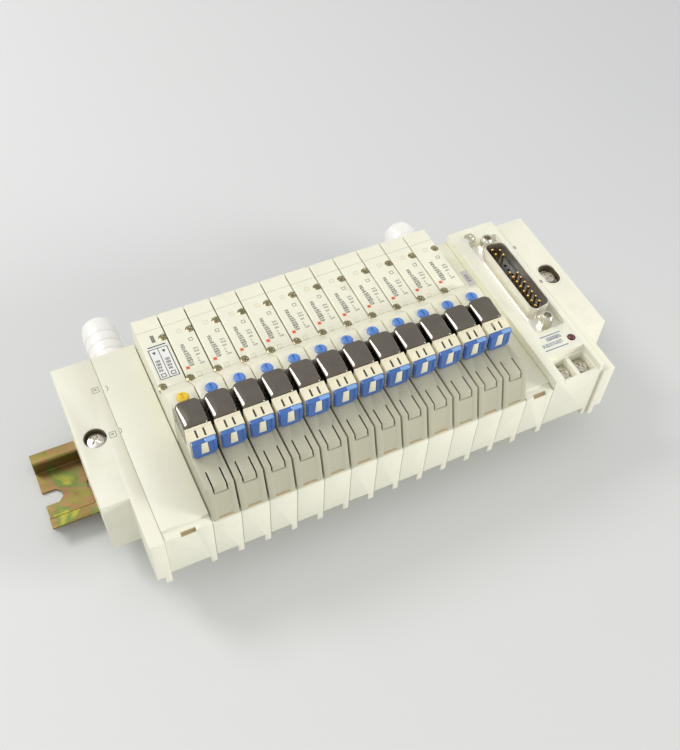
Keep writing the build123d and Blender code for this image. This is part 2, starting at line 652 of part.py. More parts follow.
# ---------------------------------------------------------------- end blocks, clamps, clamp screws
CLAMP_SIDES = {-1: LEFT_CLAMP_Y, 1: RIGHT_CLAMP_Y}
INNER_FACES = {-1: LEFT_SUPPLY_X, 1: RIGHT_END_X}
RECESS_LENGTHS = {-1: 2 * CLAMP_RECESS_RADIUS, 1: OVAL_RECESS_LENGTH}
HOOK_TOP_Z = RAIL_HEIGHT - RAIL_SHEET - RAIL_CLEARANCE
CLAMP_PLACES = {side: (INNER_FACES[side] + side * CLAMP_OFFSET, CLAMP_SIDES[side]) for side in (-1, 1)}


def end_block(side):
    """End block outward of its inner face: foot plate, clamp housing and fixed rail hook."""
    inner_x = INNER_FACES[side] + side * BLOCK_JOINT / 2
    outer_x = INNER_FACES[side] + side * END_BLOCK_WIDTH
    screw_x, screw_y = CLAMP_PLACES[side]
    hook_z = RAIL_HEIGHT - SADDLE_DEPTH
    pocket_front_y = -GROOVE_HALF - CLAMP_SHEET - POCKET_CLEARANCE
    pocket_length = screw_y + CLAMP_REACH + POCKET_CLEARANCE - pocket_front_y
    pocket_top_z = CLAMP_PLATE_Z + CLAMP_SHEET + POCKET_CLEARANCE
    with BuildPart() as block:
        with BuildSketch(Plane.YZ.offset(min(inner_x, outer_x))):
            Polygon(
                (BACK_Y, END_SKIRT_Z),
                (BACK_Y, SUPPLY_TOP_Z),
                (END_FRONT_Y, SUPPLY_TOP_Z),
                (END_FRONT_Y, END_SKIRT_Z),
                (-SADDLE_HALF, END_SKIRT_Z),
                (-SADDLE_HALF, RAIL_HEIGHT),
                (GROOVE_HALF, RAIL_HEIGHT),
                (GROOVE_HALF, HOOK_TOP_Z),
                (GROOVE_HALF - CLAMP_LIP, HOOK_TOP_Z),
                (GROOVE_HALF - CLAMP_LIP, hook_z),
                (SADDLE_HALF, hook_z),
                (SADDLE_HALF, END_SKIRT_Z),
                align=None,
            )
        extrude(amount=abs(outer_x - inner_x))
        with BuildSketch(Plane.XY.offset(SUPPLY_TOP_Z)):
            with Locations((inner_x + side * FOOT_PLATE_WIDTH / 2, FOOT_PLATE_FRONT_Y)):
                Rectangle(
                    FOOT_PLATE_WIDTH,
                    END_FRONT_Y - FOOT_PLATE_FRONT_Y,
                    align=(Align.CENTER, Align.MIN),
                )
        extrude(amount=FRONT_SKIRT_Z - SUPPLY_TOP_Z)
        with BuildSketch(Plane.XY.offset(FRONT_SKIRT_Z)):
            with Locations((inner_x + side * FOOT_WIDTH / 2, FOOT_PLATE_FRONT_Y)):
                Rectangle(FOOT_WIDTH, FOOT_DEPTH, align=(Align.CENTER, Align.MIN))
        extrude(amount=FOOT_Z - FRONT_SKIRT_Z)
        with BuildSketch(Plane.XY.offset(SUPPLY_TOP_Z)):
            with Locations((screw_x, screw_y)):
                if RECESS_LENGTHS[side] > 2 * CLAMP_RECESS_RADIUS:
                    SlotOverall(RECESS_LENGTHS[side], 2 * CLAMP_RECESS_RADIUS, rotation=90)
                else:
                    Circle(CLAMP_RECESS_RADIUS)
        extrude(amount=-CLAMP_RECESS_DEPTH, mode=Mode.SUBTRACT)
        with BuildSketch(Plane.XY.offset(SUPPLY_TOP_Z)):
            with Locations((screw_x, screw_y)):
                RegularPolygon(CLAMP_SHANK_RADIUS + CLAMP_BORE_CLEARANCE, ROUND_SIDES)
        extrude(amount=RAIL_HEIGHT - SUPPLY_TOP_Z, mode=Mode.SUBTRACT)
        # Pocket under the block in which the clamp slides.
        with BuildSketch(Plane.XY.offset(RAIL_HEIGHT)):
            with Locations((screw_x, pocket_front_y)):
                Rectangle(
                    CLAMP_WIDTH + 2 * POCKET_CLEARANCE,
                    pocket_length,
                    align=(Align.CENTER, Align.MIN),
                )
        extrude(amount=pocket_top_z - RAIL_HEIGHT, mode=Mode.SUBTRACT)
    return block.part


save(end_block(-1), "left_end_block")
save(end_block(1), "right_end_block")

# Bent steel clamps that hook under the rail's front flange.
with BuildPart() as rail_clamps:
    for screw_x, screw_y in CLAMP_PLACES.values():
        tail_y = screw_y + CLAMP_REACH
        with BuildSketch(Plane.YZ.offset(screw_x - CLAMP_WIDTH / 2)):
            Polygon(
                (tail_y, CLAMP_PLATE_Z),
                (tail_y, CLAMP_PLATE_Z + CLAMP_SHEET),
                (-GROOVE_HALF - CLAMP_SHEET, CLAMP_PLATE_Z + CLAMP_SHEET),
                (-GROOVE_HALF - CLAMP_SHEET, HOOK_TOP_Z - CLAMP_SHEET),
                (CLAMP_LIP - GROOVE_HALF, HOOK_TOP_Z - CLAMP_SHEET),
                (CLAMP_LIP - GROOVE_HALF, HOOK_TOP_Z),
                (-GROOVE_HALF, HOOK_TOP_Z),
                (-GROOVE_HALF, CLAMP_PLATE_Z),
                align=None,
            )
        extrude(amount=CLAMP_WIDTH)
    with BuildSketch(Plane.XY.offset(CLAMP_PLATE_Z)):
        with Locations(*CLAMP_PLACES.values()):
            RegularPolygon(CLAMP_SHANK_RADIUS + TAP_CLEARANCE, ROUND_SIDES)
    extrude(amount=CLAMP_SHEET, mode=Mode.SUBTRACT)
save(rail_clamps.part, "rail_clamps")

clamp_seat_z = SUPPLY_TOP_Z - CLAMP_RECESS_DEPTH
clamp_end_z = CLAMP_PLATE_Z - CLAMP_TAP_DEPTH
with BuildPart() as clamp_screws:
    with BuildSketch(Plane.XY.offset(clamp_end_z)):
        with Locations(*CLAMP_PLACES.values()):
            RegularPolygon(CLAMP_SHANK_RADIUS, ROUND_SIDES)
    extrude(amount=clamp_seat_z - clamp_end_z)
    with BuildSketch(Plane.XY.offset(clamp_seat_z)):
        with Locations(*CLAMP_PLACES.values()):
            Circle(CLAMP_HEAD_RADIUS)
    extrude(amount=CLAMP_HEAD_HEIGHT)
    with BuildSketch(Plane.XY.offset(clamp_seat_z + CLAMP_HEAD_HEIGHT)):
        with Locations(*CLAMP_PLACES.values()):
            Rectangle(CROSS_LENGTH, CROSS_WIDTH, rotation=45)
            Rectangle(CROSS_LENGTH, CROSS_WIDTH, rotation=-45)
    extrude(amount=-CROSS_DEPTH, mode=Mode.SUBTRACT)
save(clamp_screws.part, "clamp_screws")

# ---------------------------------------------------------------- connector block
DSUB_CENTRE_X = CONNECTOR_X + DSUB_X
flange_seat_z = CONNECTOR_TOP_Z - FLANGE_RECESS_DEPTH
flange_top_z = flange_seat_z + FLANGE_SHEET
insulator_bottom_z = flange_seat_z - INSULATOR_DEPTH
insulator_top_z = flange_top_z + INSULATOR_PROUD
cell_middle_y = FRONT_Y + TERMINAL_LIP + CELL_LENGTH / 2
cell_floor_z = CONNECTOR_TOP_Z - TERMINAL_STEP - CELL_DEPTH
terminal_middle_x = CONNECTOR_X + TERMINAL_LEFT + TERMINAL_WIDTH / 2
cell_spacing = CELL_WIDTH + DIVIDER
lamp_place = (CONNECTOR_X + LAMP_X, LAMP_Y)
with BuildPart() as connector_block:
    add(stacked_block(CONNECTOR_X, CONNECTOR_BLOCK_WIDTH, CONNECTOR_TOP_Z))
    with BuildSketch(Plane.XY.offset(CONNECTOR_TOP_Z)):
        with Locations((DSUB_CENTRE_X, DSUB_Y)):
            RectangleRounded(
                FLANGE_WIDTH + 2 * FLANGE_CLEARANCE,
                FLANGE_LENGTH + 2 * FLANGE_CLEARANCE,
                FLANGE_CORNER + FLANGE_CLEARANCE,
            )
    extrude(amount=-FLANGE_RECESS_DEPTH, mode=Mode.SUBTRACT)
    with BuildSketch(Plane.XY.offset(flange_seat_z)):
        add(dsub_outline(INSULATOR_CLEARANCE))
    extrude(amount=-INSULATOR_DEPTH, mode=Mode.SUBTRACT)
    with BuildSketch(Plane.XY.offset(CONNECTOR_TOP_Z)):
        with Locations((CONNECTOR_X + SIDE_RECESS_X, SIDE_RECESS_Y)):
            Circle(SIDE_RECESS_RADIUS)
    extrude(amount=-SIDE_RECESS_DEPTH, mode=Mode.SUBTRACT)
    with BuildSketch(Plane.XY.offset(CONNECTOR_TOP_Z)):
        with Locations(lamp_place):
            RegularPolygon(LAMP_RADIUS + LAMP_CLEARANCE, ROUND_SIDES)
    extrude(amount=-LAMP_DEPTH, mode=Mode.SUBTRACT)
    with BuildSketch(Plane.XY.offset(CONNECTOR_TOP_Z)):
        with Locations((terminal_middle_x, FRONT_Y)):
            Rectangle(TERMINAL_WIDTH, TERMINAL_LENGTH, align=(Align.CENTER, Align.MIN))
    extrude(amount=-TERMINAL_STEP, mode=Mode.SUBTRACT)
    with BuildSketch(Plane.XY.offset(CONNECTOR_TOP_Z - TERMINAL_STEP)):
        with Locations((terminal_middle_x, cell_middle_y)):
            with GridLocations(cell_spacing, 0, 2, 1):
                Rectangle(CELL_WIDTH, CELL_LENGTH)
    extrude(amount=-CELL_DEPTH, mode=Mode.SUBTRACT)
save(connector_block.part, "connector_block")

with BuildPart() as terminal_screws:
    with BuildSketch(Plane.XY.offset(cell_floor_z)):
        with Locations((terminal_middle_x, cell_middle_y)):
            with GridLocations(cell_spacing, 0, 2, 1):
                Rectangle(CELL_WIDTH - 2 * POCKET_CLEARANCE, CELL_LENGTH - 2 * POCKET_CLEARANCE)
    extrude(amount=TERMINAL_PLATE)
    with BuildSketch(Plane.XY.offset(cell_floor_z + TERMINAL_PLATE)):
        with Locations((terminal_middle_x, cell_middle_y)):
            with GridLocations(cell_spacing, 0, 2, 1):
                RegularPolygon(TERMINAL_HEAD_RADIUS, ROUND_SIDES)
    extrude(amount=TERMINAL_HEAD_HEIGHT)
save(terminal_screws.part, "terminal_screws")

with BuildPart() as indicator_lamp:
    with BuildSketch(Plane.XY.offset(CONNECTOR_TOP_Z - LAMP_DEPTH)):
        with Locations(lamp_place):
            RegularPolygon(LAMP_RADIUS, ROUND_SIDES)
    extrude(amount=LAMP_DEPTH + LAMP_PROUD)
save(indicator_lamp.part, "indicator_lamp")

# ---------------------------------------------------------------- multi-pin connector
with BuildPart() as dsub_shell:
    with BuildSketch(Plane.XY.offset(flange_seat_z)):
        with Locations((DSUB_CENTRE_X, DSUB_Y)):
            RectangleRounded(FLANGE_WIDTH, FLANGE_LENGTH, FLANGE_CORNER)
    extrude(amount=FLANGE_SHEET)
    with BuildSketch(Plane.XY.offset(flange_top_z)):
        add(dsub_outline(SHELL_WALL))
    extrude(amount=SHELL_HEIGHT)
    with BuildSketch(Plane.XY.offset(flange_seat_z)):
        add(dsub_outline(0))
    extrude(amount=FLANGE_SHEET + SHELL_HEIGHT, mode=Mode.SUBTRACT)
save(dsub_shell.part, "dsub_shell")


def row_places(row_x, place_count, used):
    """Centres of a row's pins, counted from the tube side."""
    first_y = DSUB_Y + (place_count - 1) / 2 * PIN_PITCH
    return [(row_x, first_y - place * PIN_PITCH) for place in used]


pin_places = row_places(DSUB_CENTRE_X - PIN_ROW_SPACING / 2, WIDE_ROW_PLACES, WIDE_ROW)
pin_places += row_places(DSUB_CENTRE_X + PIN_ROW_SPACING / 2, WIDE_ROW_PLACES - 1, NARROW_ROW)
with BuildPart() as dsub_insulator:
    with BuildSketch(Plane.XY.offset(insulator_bottom_z)):
        add(dsub_outline(-INSULATOR_CLEARANCE))
    extrude(amount=insulator_top_z - insulator_bottom_z)
save(dsub_insulator.part, "dsub_insulator")

with BuildPart() as dsub_pins:
    with BuildSketch(Plane.XY.offset(insulator_top_z)):
        with Locations(*pin_places):
            RegularPolygon(PIN_RADIUS, PIN_SIDES)
    extrude(amount=PIN_HEIGHT)
save(dsub_pins.part, "dsub_pins")

with BuildPart() as dsub_standoffs:
    with BuildSketch(Plane.XY.offset(flange_top_z)):
        with Locations((DSUB_CENTRE_X, DSUB_Y)):
            with GridLocations(0, STANDOFF_SPAN, 1, 2):
                RegularPolygon(STANDOFF_FLATS / 2, 6, major_radius=False)
    extrude(amount=STANDOFF_HEIGHT)
    with BuildSketch(Plane.XY.offset(flange_top_z + STANDOFF_HEIGHT)):
        with Locations((DSUB_CENTRE_X, DSUB_Y)):
            with GridLocations(0, STANDOFF_SPAN, 1, 2):
                RegularPolygon(STANDOFF_BORE, ROUND_SIDES)
    extrude(amount=-STANDOFF_BORE_DEPTH, mode=Mode.SUBTRACT)
save(dsub_standoffs.part, "dsub_standoffs")
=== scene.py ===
import math
import random

import bmesh
import bpy
from mathutils import Matrix, Vector


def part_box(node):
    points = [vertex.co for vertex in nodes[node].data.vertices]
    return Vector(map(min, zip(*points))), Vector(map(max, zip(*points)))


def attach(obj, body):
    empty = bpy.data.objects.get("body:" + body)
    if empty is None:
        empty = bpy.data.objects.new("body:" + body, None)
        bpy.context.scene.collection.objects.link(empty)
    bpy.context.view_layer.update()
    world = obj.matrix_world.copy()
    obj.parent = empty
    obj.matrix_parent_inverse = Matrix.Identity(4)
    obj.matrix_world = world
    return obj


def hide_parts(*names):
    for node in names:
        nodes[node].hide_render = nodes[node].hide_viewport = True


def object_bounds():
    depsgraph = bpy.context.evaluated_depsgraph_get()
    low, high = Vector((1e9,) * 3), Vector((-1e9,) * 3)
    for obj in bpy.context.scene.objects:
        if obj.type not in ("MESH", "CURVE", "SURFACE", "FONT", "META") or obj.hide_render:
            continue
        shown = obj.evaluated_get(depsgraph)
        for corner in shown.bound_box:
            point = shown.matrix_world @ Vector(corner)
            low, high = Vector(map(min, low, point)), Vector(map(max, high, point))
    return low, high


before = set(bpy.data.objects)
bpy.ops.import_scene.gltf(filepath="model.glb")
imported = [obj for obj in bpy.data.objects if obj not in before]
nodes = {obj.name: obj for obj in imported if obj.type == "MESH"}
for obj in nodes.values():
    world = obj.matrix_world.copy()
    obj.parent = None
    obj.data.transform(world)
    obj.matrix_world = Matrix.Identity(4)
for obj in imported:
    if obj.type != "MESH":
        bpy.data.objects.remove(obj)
cad_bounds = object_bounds()
MM = 0.001
rng = random.Random(7)

STATIONS = 12
STATION_NUMBERS = [f"{index + 1:02d}" for index in range(STATIONS)]
body_lo, body_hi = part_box("valve_body_01")
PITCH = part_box("valve_body_02")[0].x - body_lo.x
BODY_SIDE_GAP = 0.25 * MM  # half the gap between two valve bodies


def station_left(index):
    """Left edge of a station's share of the row."""
    return body_lo.x - BODY_SIDE_GAP + index * PITCH


def row_box(node):
    """Lowest and highest corner of the first copy in a node that holds one copy per station."""
    lo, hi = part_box(node)
    return lo, Vector((hi.x - (STATIONS - 1) * PITCH, hi.y, hi.z))


# ------------------------------------------------------------------ materials
def linear(red, green, blue):
    """A display colour of 0 to 255 as a linear one."""
    values = [channel / 255 for channel in (red, green, blue)]
    return tuple(v / 12.92 if v <= 0.04045 else ((v + 0.055) / 1.055) ** 2.4 for v in values) + (1.0,)


def shade(colour, factor):
    """The colour made lighter or darker."""
    return tuple(min(1.0, channel * factor) for channel in colour[:3]) + (1.0,)


class Nodes:
    """Node tree of a new material, with its shader, output and object coordinates."""

    def __init__(self, name):
        self.material = bpy.data.materials.new(name)
        self.material.use_nodes = True
        self.tree = self.material.node_tree
        self.shader = self.tree.nodes["Principled BSDF"]
        self.place = self.add("ShaderNodeTexCoord").outputs["Object"]

    def add(self, kind, **settings):
        node = self.tree.nodes.new(kind)
        for key, value in settings.items():
            setattr(node, key, value)
        return node

    def link(self, source, target):
        self.tree.links.new(source, target)

    def noise(self, scale, detail=3.0, rough=0.5, place=None, distortion=0.0):
        node = self.add("ShaderNodeTexNoise")
        node.inputs["Scale"].default_value = scale
        node.inputs["Detail"].default_value = detail
        node.inputs["Roughness"].default_value = rough
        node.inputs["Distortion"].default_value = distortion
        self.link(place or self.place, node.inputs["Vector"])
        return node.outputs["Fac"]

    def ramp(self, factor, stops):
        node = self.add("ShaderNodeValToRGB")
        while len(node.color_ramp.elements) < len(stops):
            node.color_ramp.elements.new(1.0)
        for element, (position, colour) in zip(node.color_ramp.elements, stops):
            element.position = position
            element.color = colour
        self.link(factor, node.inputs["Fac"])
        return node.outputs["Color"]

    def spread(self, factor, low, high, start=0.3, end=0.7):
        """Maps the middle of a noise, or any span from start to end, onto low to high."""
        node = self.add("ShaderNodeMapRange")
        for key, value in (("From Min", start), ("From Max", end), ("To Min", low), ("To Max", high)):
            node.inputs[key].default_value = value
        self.link(factor, node.inputs["Value"])
        return node.outputs["Result"]

    def mix(self, factor, first, second):
        node = self.add("ShaderNodeMix", data_type="RGBA")
        sockets = (node.inputs[0], node.inputs[6], node.inputs[7])  # the factor and the two colours
        for socket, value in zip(sockets, (factor, first, second)):
            if isinstance(value, bpy.types.NodeSocket):
                self.link(value, socket)
            else:
                socket.default_value = value
        return node.outputs[2]  # the mixed colour

    def bump(self, height, strength, distance):
        node = self.add("ShaderNodeBump")
        node.inputs["Strength"].default_value = strength
        node.inputs["Distance"].default_value = distance
        self.link(height, node.inputs["Height"])
        self.link(node.outputs["Normal"], self.shader.inputs["Normal"])


PATCH_SCALE, GRAIN_SCALE, STAIN_SCALE = 45.0, 900.0, 130.0
GRAIN_BUMP, GRAIN_DEPTH = 0.15, 0.02 * MM


def surface(name, colour, roughness, metallic=0.0, variation=0.05, stain=None, coat=0.0):
    """Moulded plastic or plain metal: soft patches and fine grain in colour, gloss and height."""
    n = Nodes(name)
    patches = n.noise(PATCH_SCALE, detail=4.0)
    fine = n.noise(GRAIN_SCALE, detail=2.0)
    base = n.ramp(patches, [(0.3, shade(colour, 1 - variation)), (0.7, shade(colour, 1 + variation))])
    base = n.mix(n.spread(fine, 0.0, 0.5), base, shade(colour, 1 - variation / 2))
    if stain:
        spots = n.noise(STAIN_SCALE, detail=6.0, rough=0.6)
        base = n.mix(n.spread(spots, 0.0, 0.35, 0.56, 0.74), base, stain)
    n.link(base, n.shader.inputs["Base Color"])
    n.link(n.spread(patches, roughness * 0.85, roughness * 1.15), n.shader.inputs["Roughness"])
    n.shader.inputs["Metallic"].default_value = metallic
    n.shader.inputs["Coat Weight"].default_value = coat
    n.bump(fine, GRAIN_BUMP, GRAIN_DEPTH)
    return n.material


valve_cream = surface("valve_cream", linear(239, 237, 216), 0.42, variation=0.015,
                      stain=linear(222, 217, 194))
pilot_cream = surface("pilot_cream", linear(239, 236, 214), 0.4, variation=0.015)
base_cream = surface("base_cream", linear(238, 237, 219), 0.48, variation=0.015,
                     stain=linear(224, 220, 198))
end_cream = surface("end_cream", linear(239, 237, 219), 0.52, variation=0.015,
                    stain=linear(222, 218, 198))
cover_grey = surface("cover_grey", linear(187, 184, 161), 0.42, variation=0.03)
housing_cream = surface("housing_cream", linear(238, 232, 204), 0.34, variation=0.03)
fitting_grey = surface("fitting_grey", linear(200, 199, 190), 0.45)
plug_blue = surface("plug_blue", linear(56, 106, 184), 0.24, variation=0.16, coat=0.6)
# A lighter blue, painted as the highlight along the top edge of each plug.
plug_lip_highlight_blue = surface("plug_lip_highlight_blue", linear(128, 172, 228), 0.28, variation=0.08, coat=0.3)
button_blue = surface("button_blue", linear(92, 142, 218), 0.35, variation=0.06)
button_yellow = surface("button_yellow", linear(242, 204, 44), 0.35, variation=0.06)
# The gaskets' rubber. The same dark is also painted shade deep in the gaps between the valve bodies.
gasket_rubber = surface("gasket_rubber", linear(34, 34, 33), 0.75)
board_green = surface("board_green", linear(30, 92, 54), 0.5, variation=0.12)
plug_white = surface("plug_white", linear(252, 251, 247), 0.34, variation=0.008)
insulator_black = surface("insulator_black", linear(26, 26, 27), 0.42, variation=0.1)
# Painted shade in the housings' slits and in the gap's tail in front of each valve screw.
groove_shade = surface("groove_shade", linear(52, 48, 38), 0.7)
# Painted shade in the notches of the wiring covers and the supply blocks.
slot_shade = surface("slot_shade", linear(180, 165, 126), 0.6)
# Painted shade on the walls of the clamp screw recesses.
recess_shade = surface("recess_shade", linear(92, 78, 54), 0.6)
# Painted shade along the joints between blocks and in the crease across each valve.
joint_shade = surface("joint_shade", linear(196, 192, 168), 0.6)
# Grey print. The same grey is also the painted shade of the joint line round two hooks on the left end
# block.
print_grey_and_jog_shade = surface("print_grey_and_jog_shade", linear(128, 126, 118), 0.6, variation=0.12)
valve_faint = surface("valve_faint", linear(216, 212, 188), 0.5, variation=0.04)
print_dark = surface("print_dark", linear(62, 62, 62), 0.55, variation=0.12)
print_label = surface("print_label", linear(236, 236, 231), 0.5, variation=0.02)
label_lilac = surface("label_lilac", linear(206, 203, 208), 0.5, variation=0.03)
print_blue = surface("print_blue", linear(126, 142, 168), 0.55, variation=0.1)
print_orange = surface("print_orange", linear(226, 92, 44), 0.5, variation=0.06)
screw_nickel = surface("screw_nickel", linear(140, 131, 100), 0.36, metallic=0.7, variation=0.14)
clamp_chrome = surface("clamp_chrome", linear(212, 208, 196), 0.28, metallic=1.0, variation=0.1)
shell_tin = surface("shell_tin", linear(229, 227, 220), 0.36, metallic=1.0, variation=0.1)
pin_gold = surface("pin_gold", linear(214, 176, 96), 0.24, metallic=1.0, variation=0.08)
lamp_red = surface("lamp_red", linear(104, 16, 18), 0.2, variation=0.1, coat=0.6)


def can_finish():
    """Dark nickel over drawn steel: a brushed, slightly streaked gloss."""
    n = Nodes("can_metal")
    stretch = n.add("ShaderNodeMapping")
    stretch.inputs["Scale"].default_value = (1.0, 0.06, 1.0)
    n.link(n.place, stretch.inputs["Vector"])
    streaks = n.noise(2600.0, detail=3.0, place=stretch.outputs["Vector"])
    patches = n.noise(110.0, detail=5.0, rough=0.6)
    base = n.ramp(patches, [(0.3, linear(112, 106, 98)), (0.7, linear(124, 117, 108))])
    n.link(base, n.shader.inputs["Base Color"])
    n.shader.inputs["Metallic"].default_value = 1.0
    n.link(n.spread(streaks, 0.16, 0.24), n.shader.inputs["Roughness"])
    n.shader.inputs["Coat Weight"].default_value = 0.35
    n.bump(streaks, 0.02, 0.004 * MM)
    return n.material


def chromate_finish():
    """Yellow chromate on zinc: clouded interference colours from olive through gold to pink."""
    n = Nodes("rail_chromate")
    clouds = n.noise(34.0, detail=5.0, rough=0.55, distortion=1.6)
    streak_place = n.add("ShaderNodeMapping")
    streak_place.inputs["Scale"].default_value = (0.15, 1.0, 1.0)
    n.link(n.place, streak_place.inputs["Vector"])
    streaks = n.noise(240.0, detail=4.0, place=streak_place.outputs["Vector"])
    base = n.ramp(clouds, [
        (0.3, linear(116, 104, 48)),
        (0.38, linear(176, 168, 66)),
        (0.45, linear(100, 128, 66)),
        (0.51, linear(158, 112, 84)),
        (0.57, linear(128, 132, 60)),
        (0.63, linear(142, 88, 72)),
        (0.7, linear(196, 186, 72)),
    ])
    base = n.mix(n.spread(streaks, 0.0, 0.4), base, linear(112, 104, 48))
    n.link(base, n.shader.inputs["Base Color"])
    n.shader.inputs["Metallic"].default_value = 0.78
    n.link(n.spread(streaks, 0.22, 0.42), n.shader.inputs["Roughness"])
    n.bump(streaks, 0.1, 0.02 * MM)
    return n.material


can_metal = can_finish()
rail_chromate = chromate_finish()


# ------------------------------------------------------------------ mesh tools
def piece(name, bm, material, body="island", smooth=35.0, standing_for=()):
    """A finished mesh object that rides on a body and may stand for CAD nodes."""
    bmesh.ops.recalc_face_normals(bm, faces=bm.faces)
    mesh = bpy.data.meshes.new(name)
    bm.to_mesh(mesh)
    bm.free()
    mesh.shade_smooth()
    mesh.set_sharp_from_angle(angle=math.radians(smooth))
    mesh.materials.append(material)
    made = bpy.data.objects.new(name, mesh)
    bpy.context.scene.collection.objects.link(made)
    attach(made, body)
    if standing_for:
        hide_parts(*standing_for)
    return made


def apply_modifiers(made):
    """Bakes the modifiers of an object into its mesh."""
    depsgraph = bpy.context.evaluated_depsgraph_get()
    baked = bpy.data.meshes.new_from_object(made.evaluated_get(depsgraph))
    made.modifiers.clear()
    made.data = baked


WELD, FLAT_ANGLE = 0.002 * MM, math.radians(0.5)


def cad_copy(node):
    """The CAD node's solid as a clean bmesh with flat faces merged."""
    bm = bmesh.new()
    bm.from_mesh(nodes[node].data)
    bmesh.ops.remove_doubles(bm, verts=bm.verts, dist=WELD)
    bmesh.ops.dissolve_limit(bm, angle_limit=FLAT_ANGLE, verts=bm.verts, edges=bm.edges)
    return bm


def rounded(node, width, material, segments=2, limit=40.0):
    """The CAD node's solid with its edges softened, standing for the node."""
    bm = cad_copy(node)
    for layer in list(bm.loops.layers.float_vector.values()):
        bm.loops.layers.float_vector.remove(layer)
    made = piece(node + "_moulded", bm, material, smooth=limit, standing_for=(node,))
    if "custom_normal" in made.data.attributes:
        made.data.attributes.remove(made.data.attributes["custom_normal"])
    soften = made.modifiers.new("soften", "BEVEL")
    soften.width = width
    soften.segments = segments
    soften.limit_method = "ANGLE"
    soften.angle_limit = math.radians(limit)
    soften.use_clamp_overlap = True
    soften.miter_outer = "MITER_ARC"
    apply_modifiers(made)
    made.data.shade_smooth()
    made.data.set_sharp_from_angle(angle=math.radians(limit))
    return made


def rounded_outline(width, length, radius, steps=5):
    """Points of a rounded rectangle about the origin. radius is one value or one per corner."""
    radii = radius if isinstance(radius, (list, tuple)) else [radius] * 4
    points = []
    corners = ((1, 1, 0), (-1, 1, 90), (-1, -1, 180), (1, -1, 270))
    for (sx, sy, start), r in zip(corners, radii):
        cx, cy = sx * (width / 2 - r), sy * (length / 2 - r)
        for step in range(steps + 1):
            angle = math.radians(start + 90 * step / steps)
            points.append((cx + r * math.cos(angle), cy + r * math.sin(angle)))
    return points


def loft(bm, rings, cap_first=True, cap_last=True):
    """Skins closed rings that have the same number of points."""
    made = [[bm.verts.new(point) for point in ring] for ring in rings]
    count = len(made[0])
    for lower, upper in zip(made, made[1:]):
        for k in range(count):
            bm.faces.new((lower[k], lower[(k + 1) % count], upper[(k + 1) % count], upper[k]))
    if cap_first:
        bm.faces.new(list(reversed(made[0])))
    if cap_last:
        bm.faces.new(made[-1])


def lathe(bm, profile, centre, axis="Z", sides=32):
    """Turned form with capped ends: profile holds (radius, distance along the axis)."""
    rings = []
    for radius, reach in profile:
        ring = []
        for k in range(sides):
            angle = 2 * math.pi * k / sides
            a, b = radius * math.cos(angle), radius * math.sin(angle)
            offset = Vector((a, b, reach)) if axis == "Z" else Vector((a, reach, b))
            ring.append(centre + offset)
        rings.append(ring)
    loft(bm, rings)


def height_disc(bm, centre, radius, base_z, height, rings=12, sides=48):
    """A round head from base_z up, whose top follows height(x, y) above the centre."""
    top = []
    for ring in range(rings, 0, -1):
        r = radius * ring / rings
        circle = []
        for k in range(sides):
            angle = 2 * math.pi * k / sides
            x, y = r * math.cos(angle), r * math.sin(angle)
            circle.append(centre + Vector((x, y, height(x, y))))
        top.append(circle)
    foot = [Vector((p.x, p.y, base_z)) for p in top[0]]
    loft(bm, [foot, *top])


# The largest edge of a plate as a share of its sides and height, how fast its corners shrink
# towards the top, and the least share that is left of them.
MOST_OF_SIDE, MOST_OF_HEIGHT, CORNER_SHRINK, LEAST_CORNER = 0.45, 0.9, 0.9, 0.15


def plate(bm, lo, hi, edge=0.0, steps=2):
    """A slab between two corners, with its upright edges rounded and its top edge eased."""
    width, length = hi[0] - lo[0], hi[1] - lo[1]
    cx, cy = (hi[0] + lo[0]) / 2, (hi[1] + lo[1]) / 2
    edge = min(edge, width * MOST_OF_SIDE, length * MOST_OF_SIDE, (hi[2] - lo[2]) * MOST_OF_HEIGHT)
    if edge <= 0:
        corners = [(lo[0], lo[1]), (hi[0], lo[1]), (hi[0], hi[1]), (lo[0], hi[1])]
        loft(bm, [[Vector((x, y, z)) for x, y in corners] for z in (lo[2], hi[2])])
        return
    rings = []
    turns = [math.radians(90 * step / steps) for step in range(steps + 1)]
    levels = [(0.0, lo[2])]
    levels += [(edge * (1 - math.cos(turn)), hi[2] - edge + edge * math.sin(turn)) for turn in turns]
    for inset, z in levels:
        corner = max(edge - inset * CORNER_SHRINK, edge * LEAST_CORNER)
        outline = rounded_outline(width - 2 * inset, length - 2 * inset, corner, steps)
        rings.append([Vector((cx + x, cy + y, z)) for x, y in outline])
    loft(bm, rings)


RECESS_TAPER = 0.55  # how much shallower a cross recess is at the ends of its arms


def cross_recess(length, width, depth, turn, dome, radius):
    """Height of a domed screw head with a cross recess, over the edge of its dome."""
    c, s = math.cos(turn), math.sin(turn)

    def height(x, y):
        u, v = abs(c * x + s * y), abs(c * y - s * x)
        long, short = max(u, v), min(u, v)
        top = dome * (1 - (x * x + y * y) / radius ** 2)
        if long < length / 2 and short < width / 2:
            return top - depth * (1 - RECESS_TAPER * long / (length / 2))
        return top

    return height


# ------------------------------------------------------------------ camera, light and floor
CAMERA_PLACE = Vector((-109.73, -215.74, 335.16)) * MM
CAMERA_RIGHT = Vector((0.90268, -0.42899, 0.03381))
CAMERA_DOWN = Vector((-0.32361, -0.72852, -0.60377))
CAMERA_FORWARD = Vector((0.28364, 0.53407, -0.79644))
LENS, SENSOR_WIDTH = 51.44, 36.0  # in millimetres, as Blender takes them

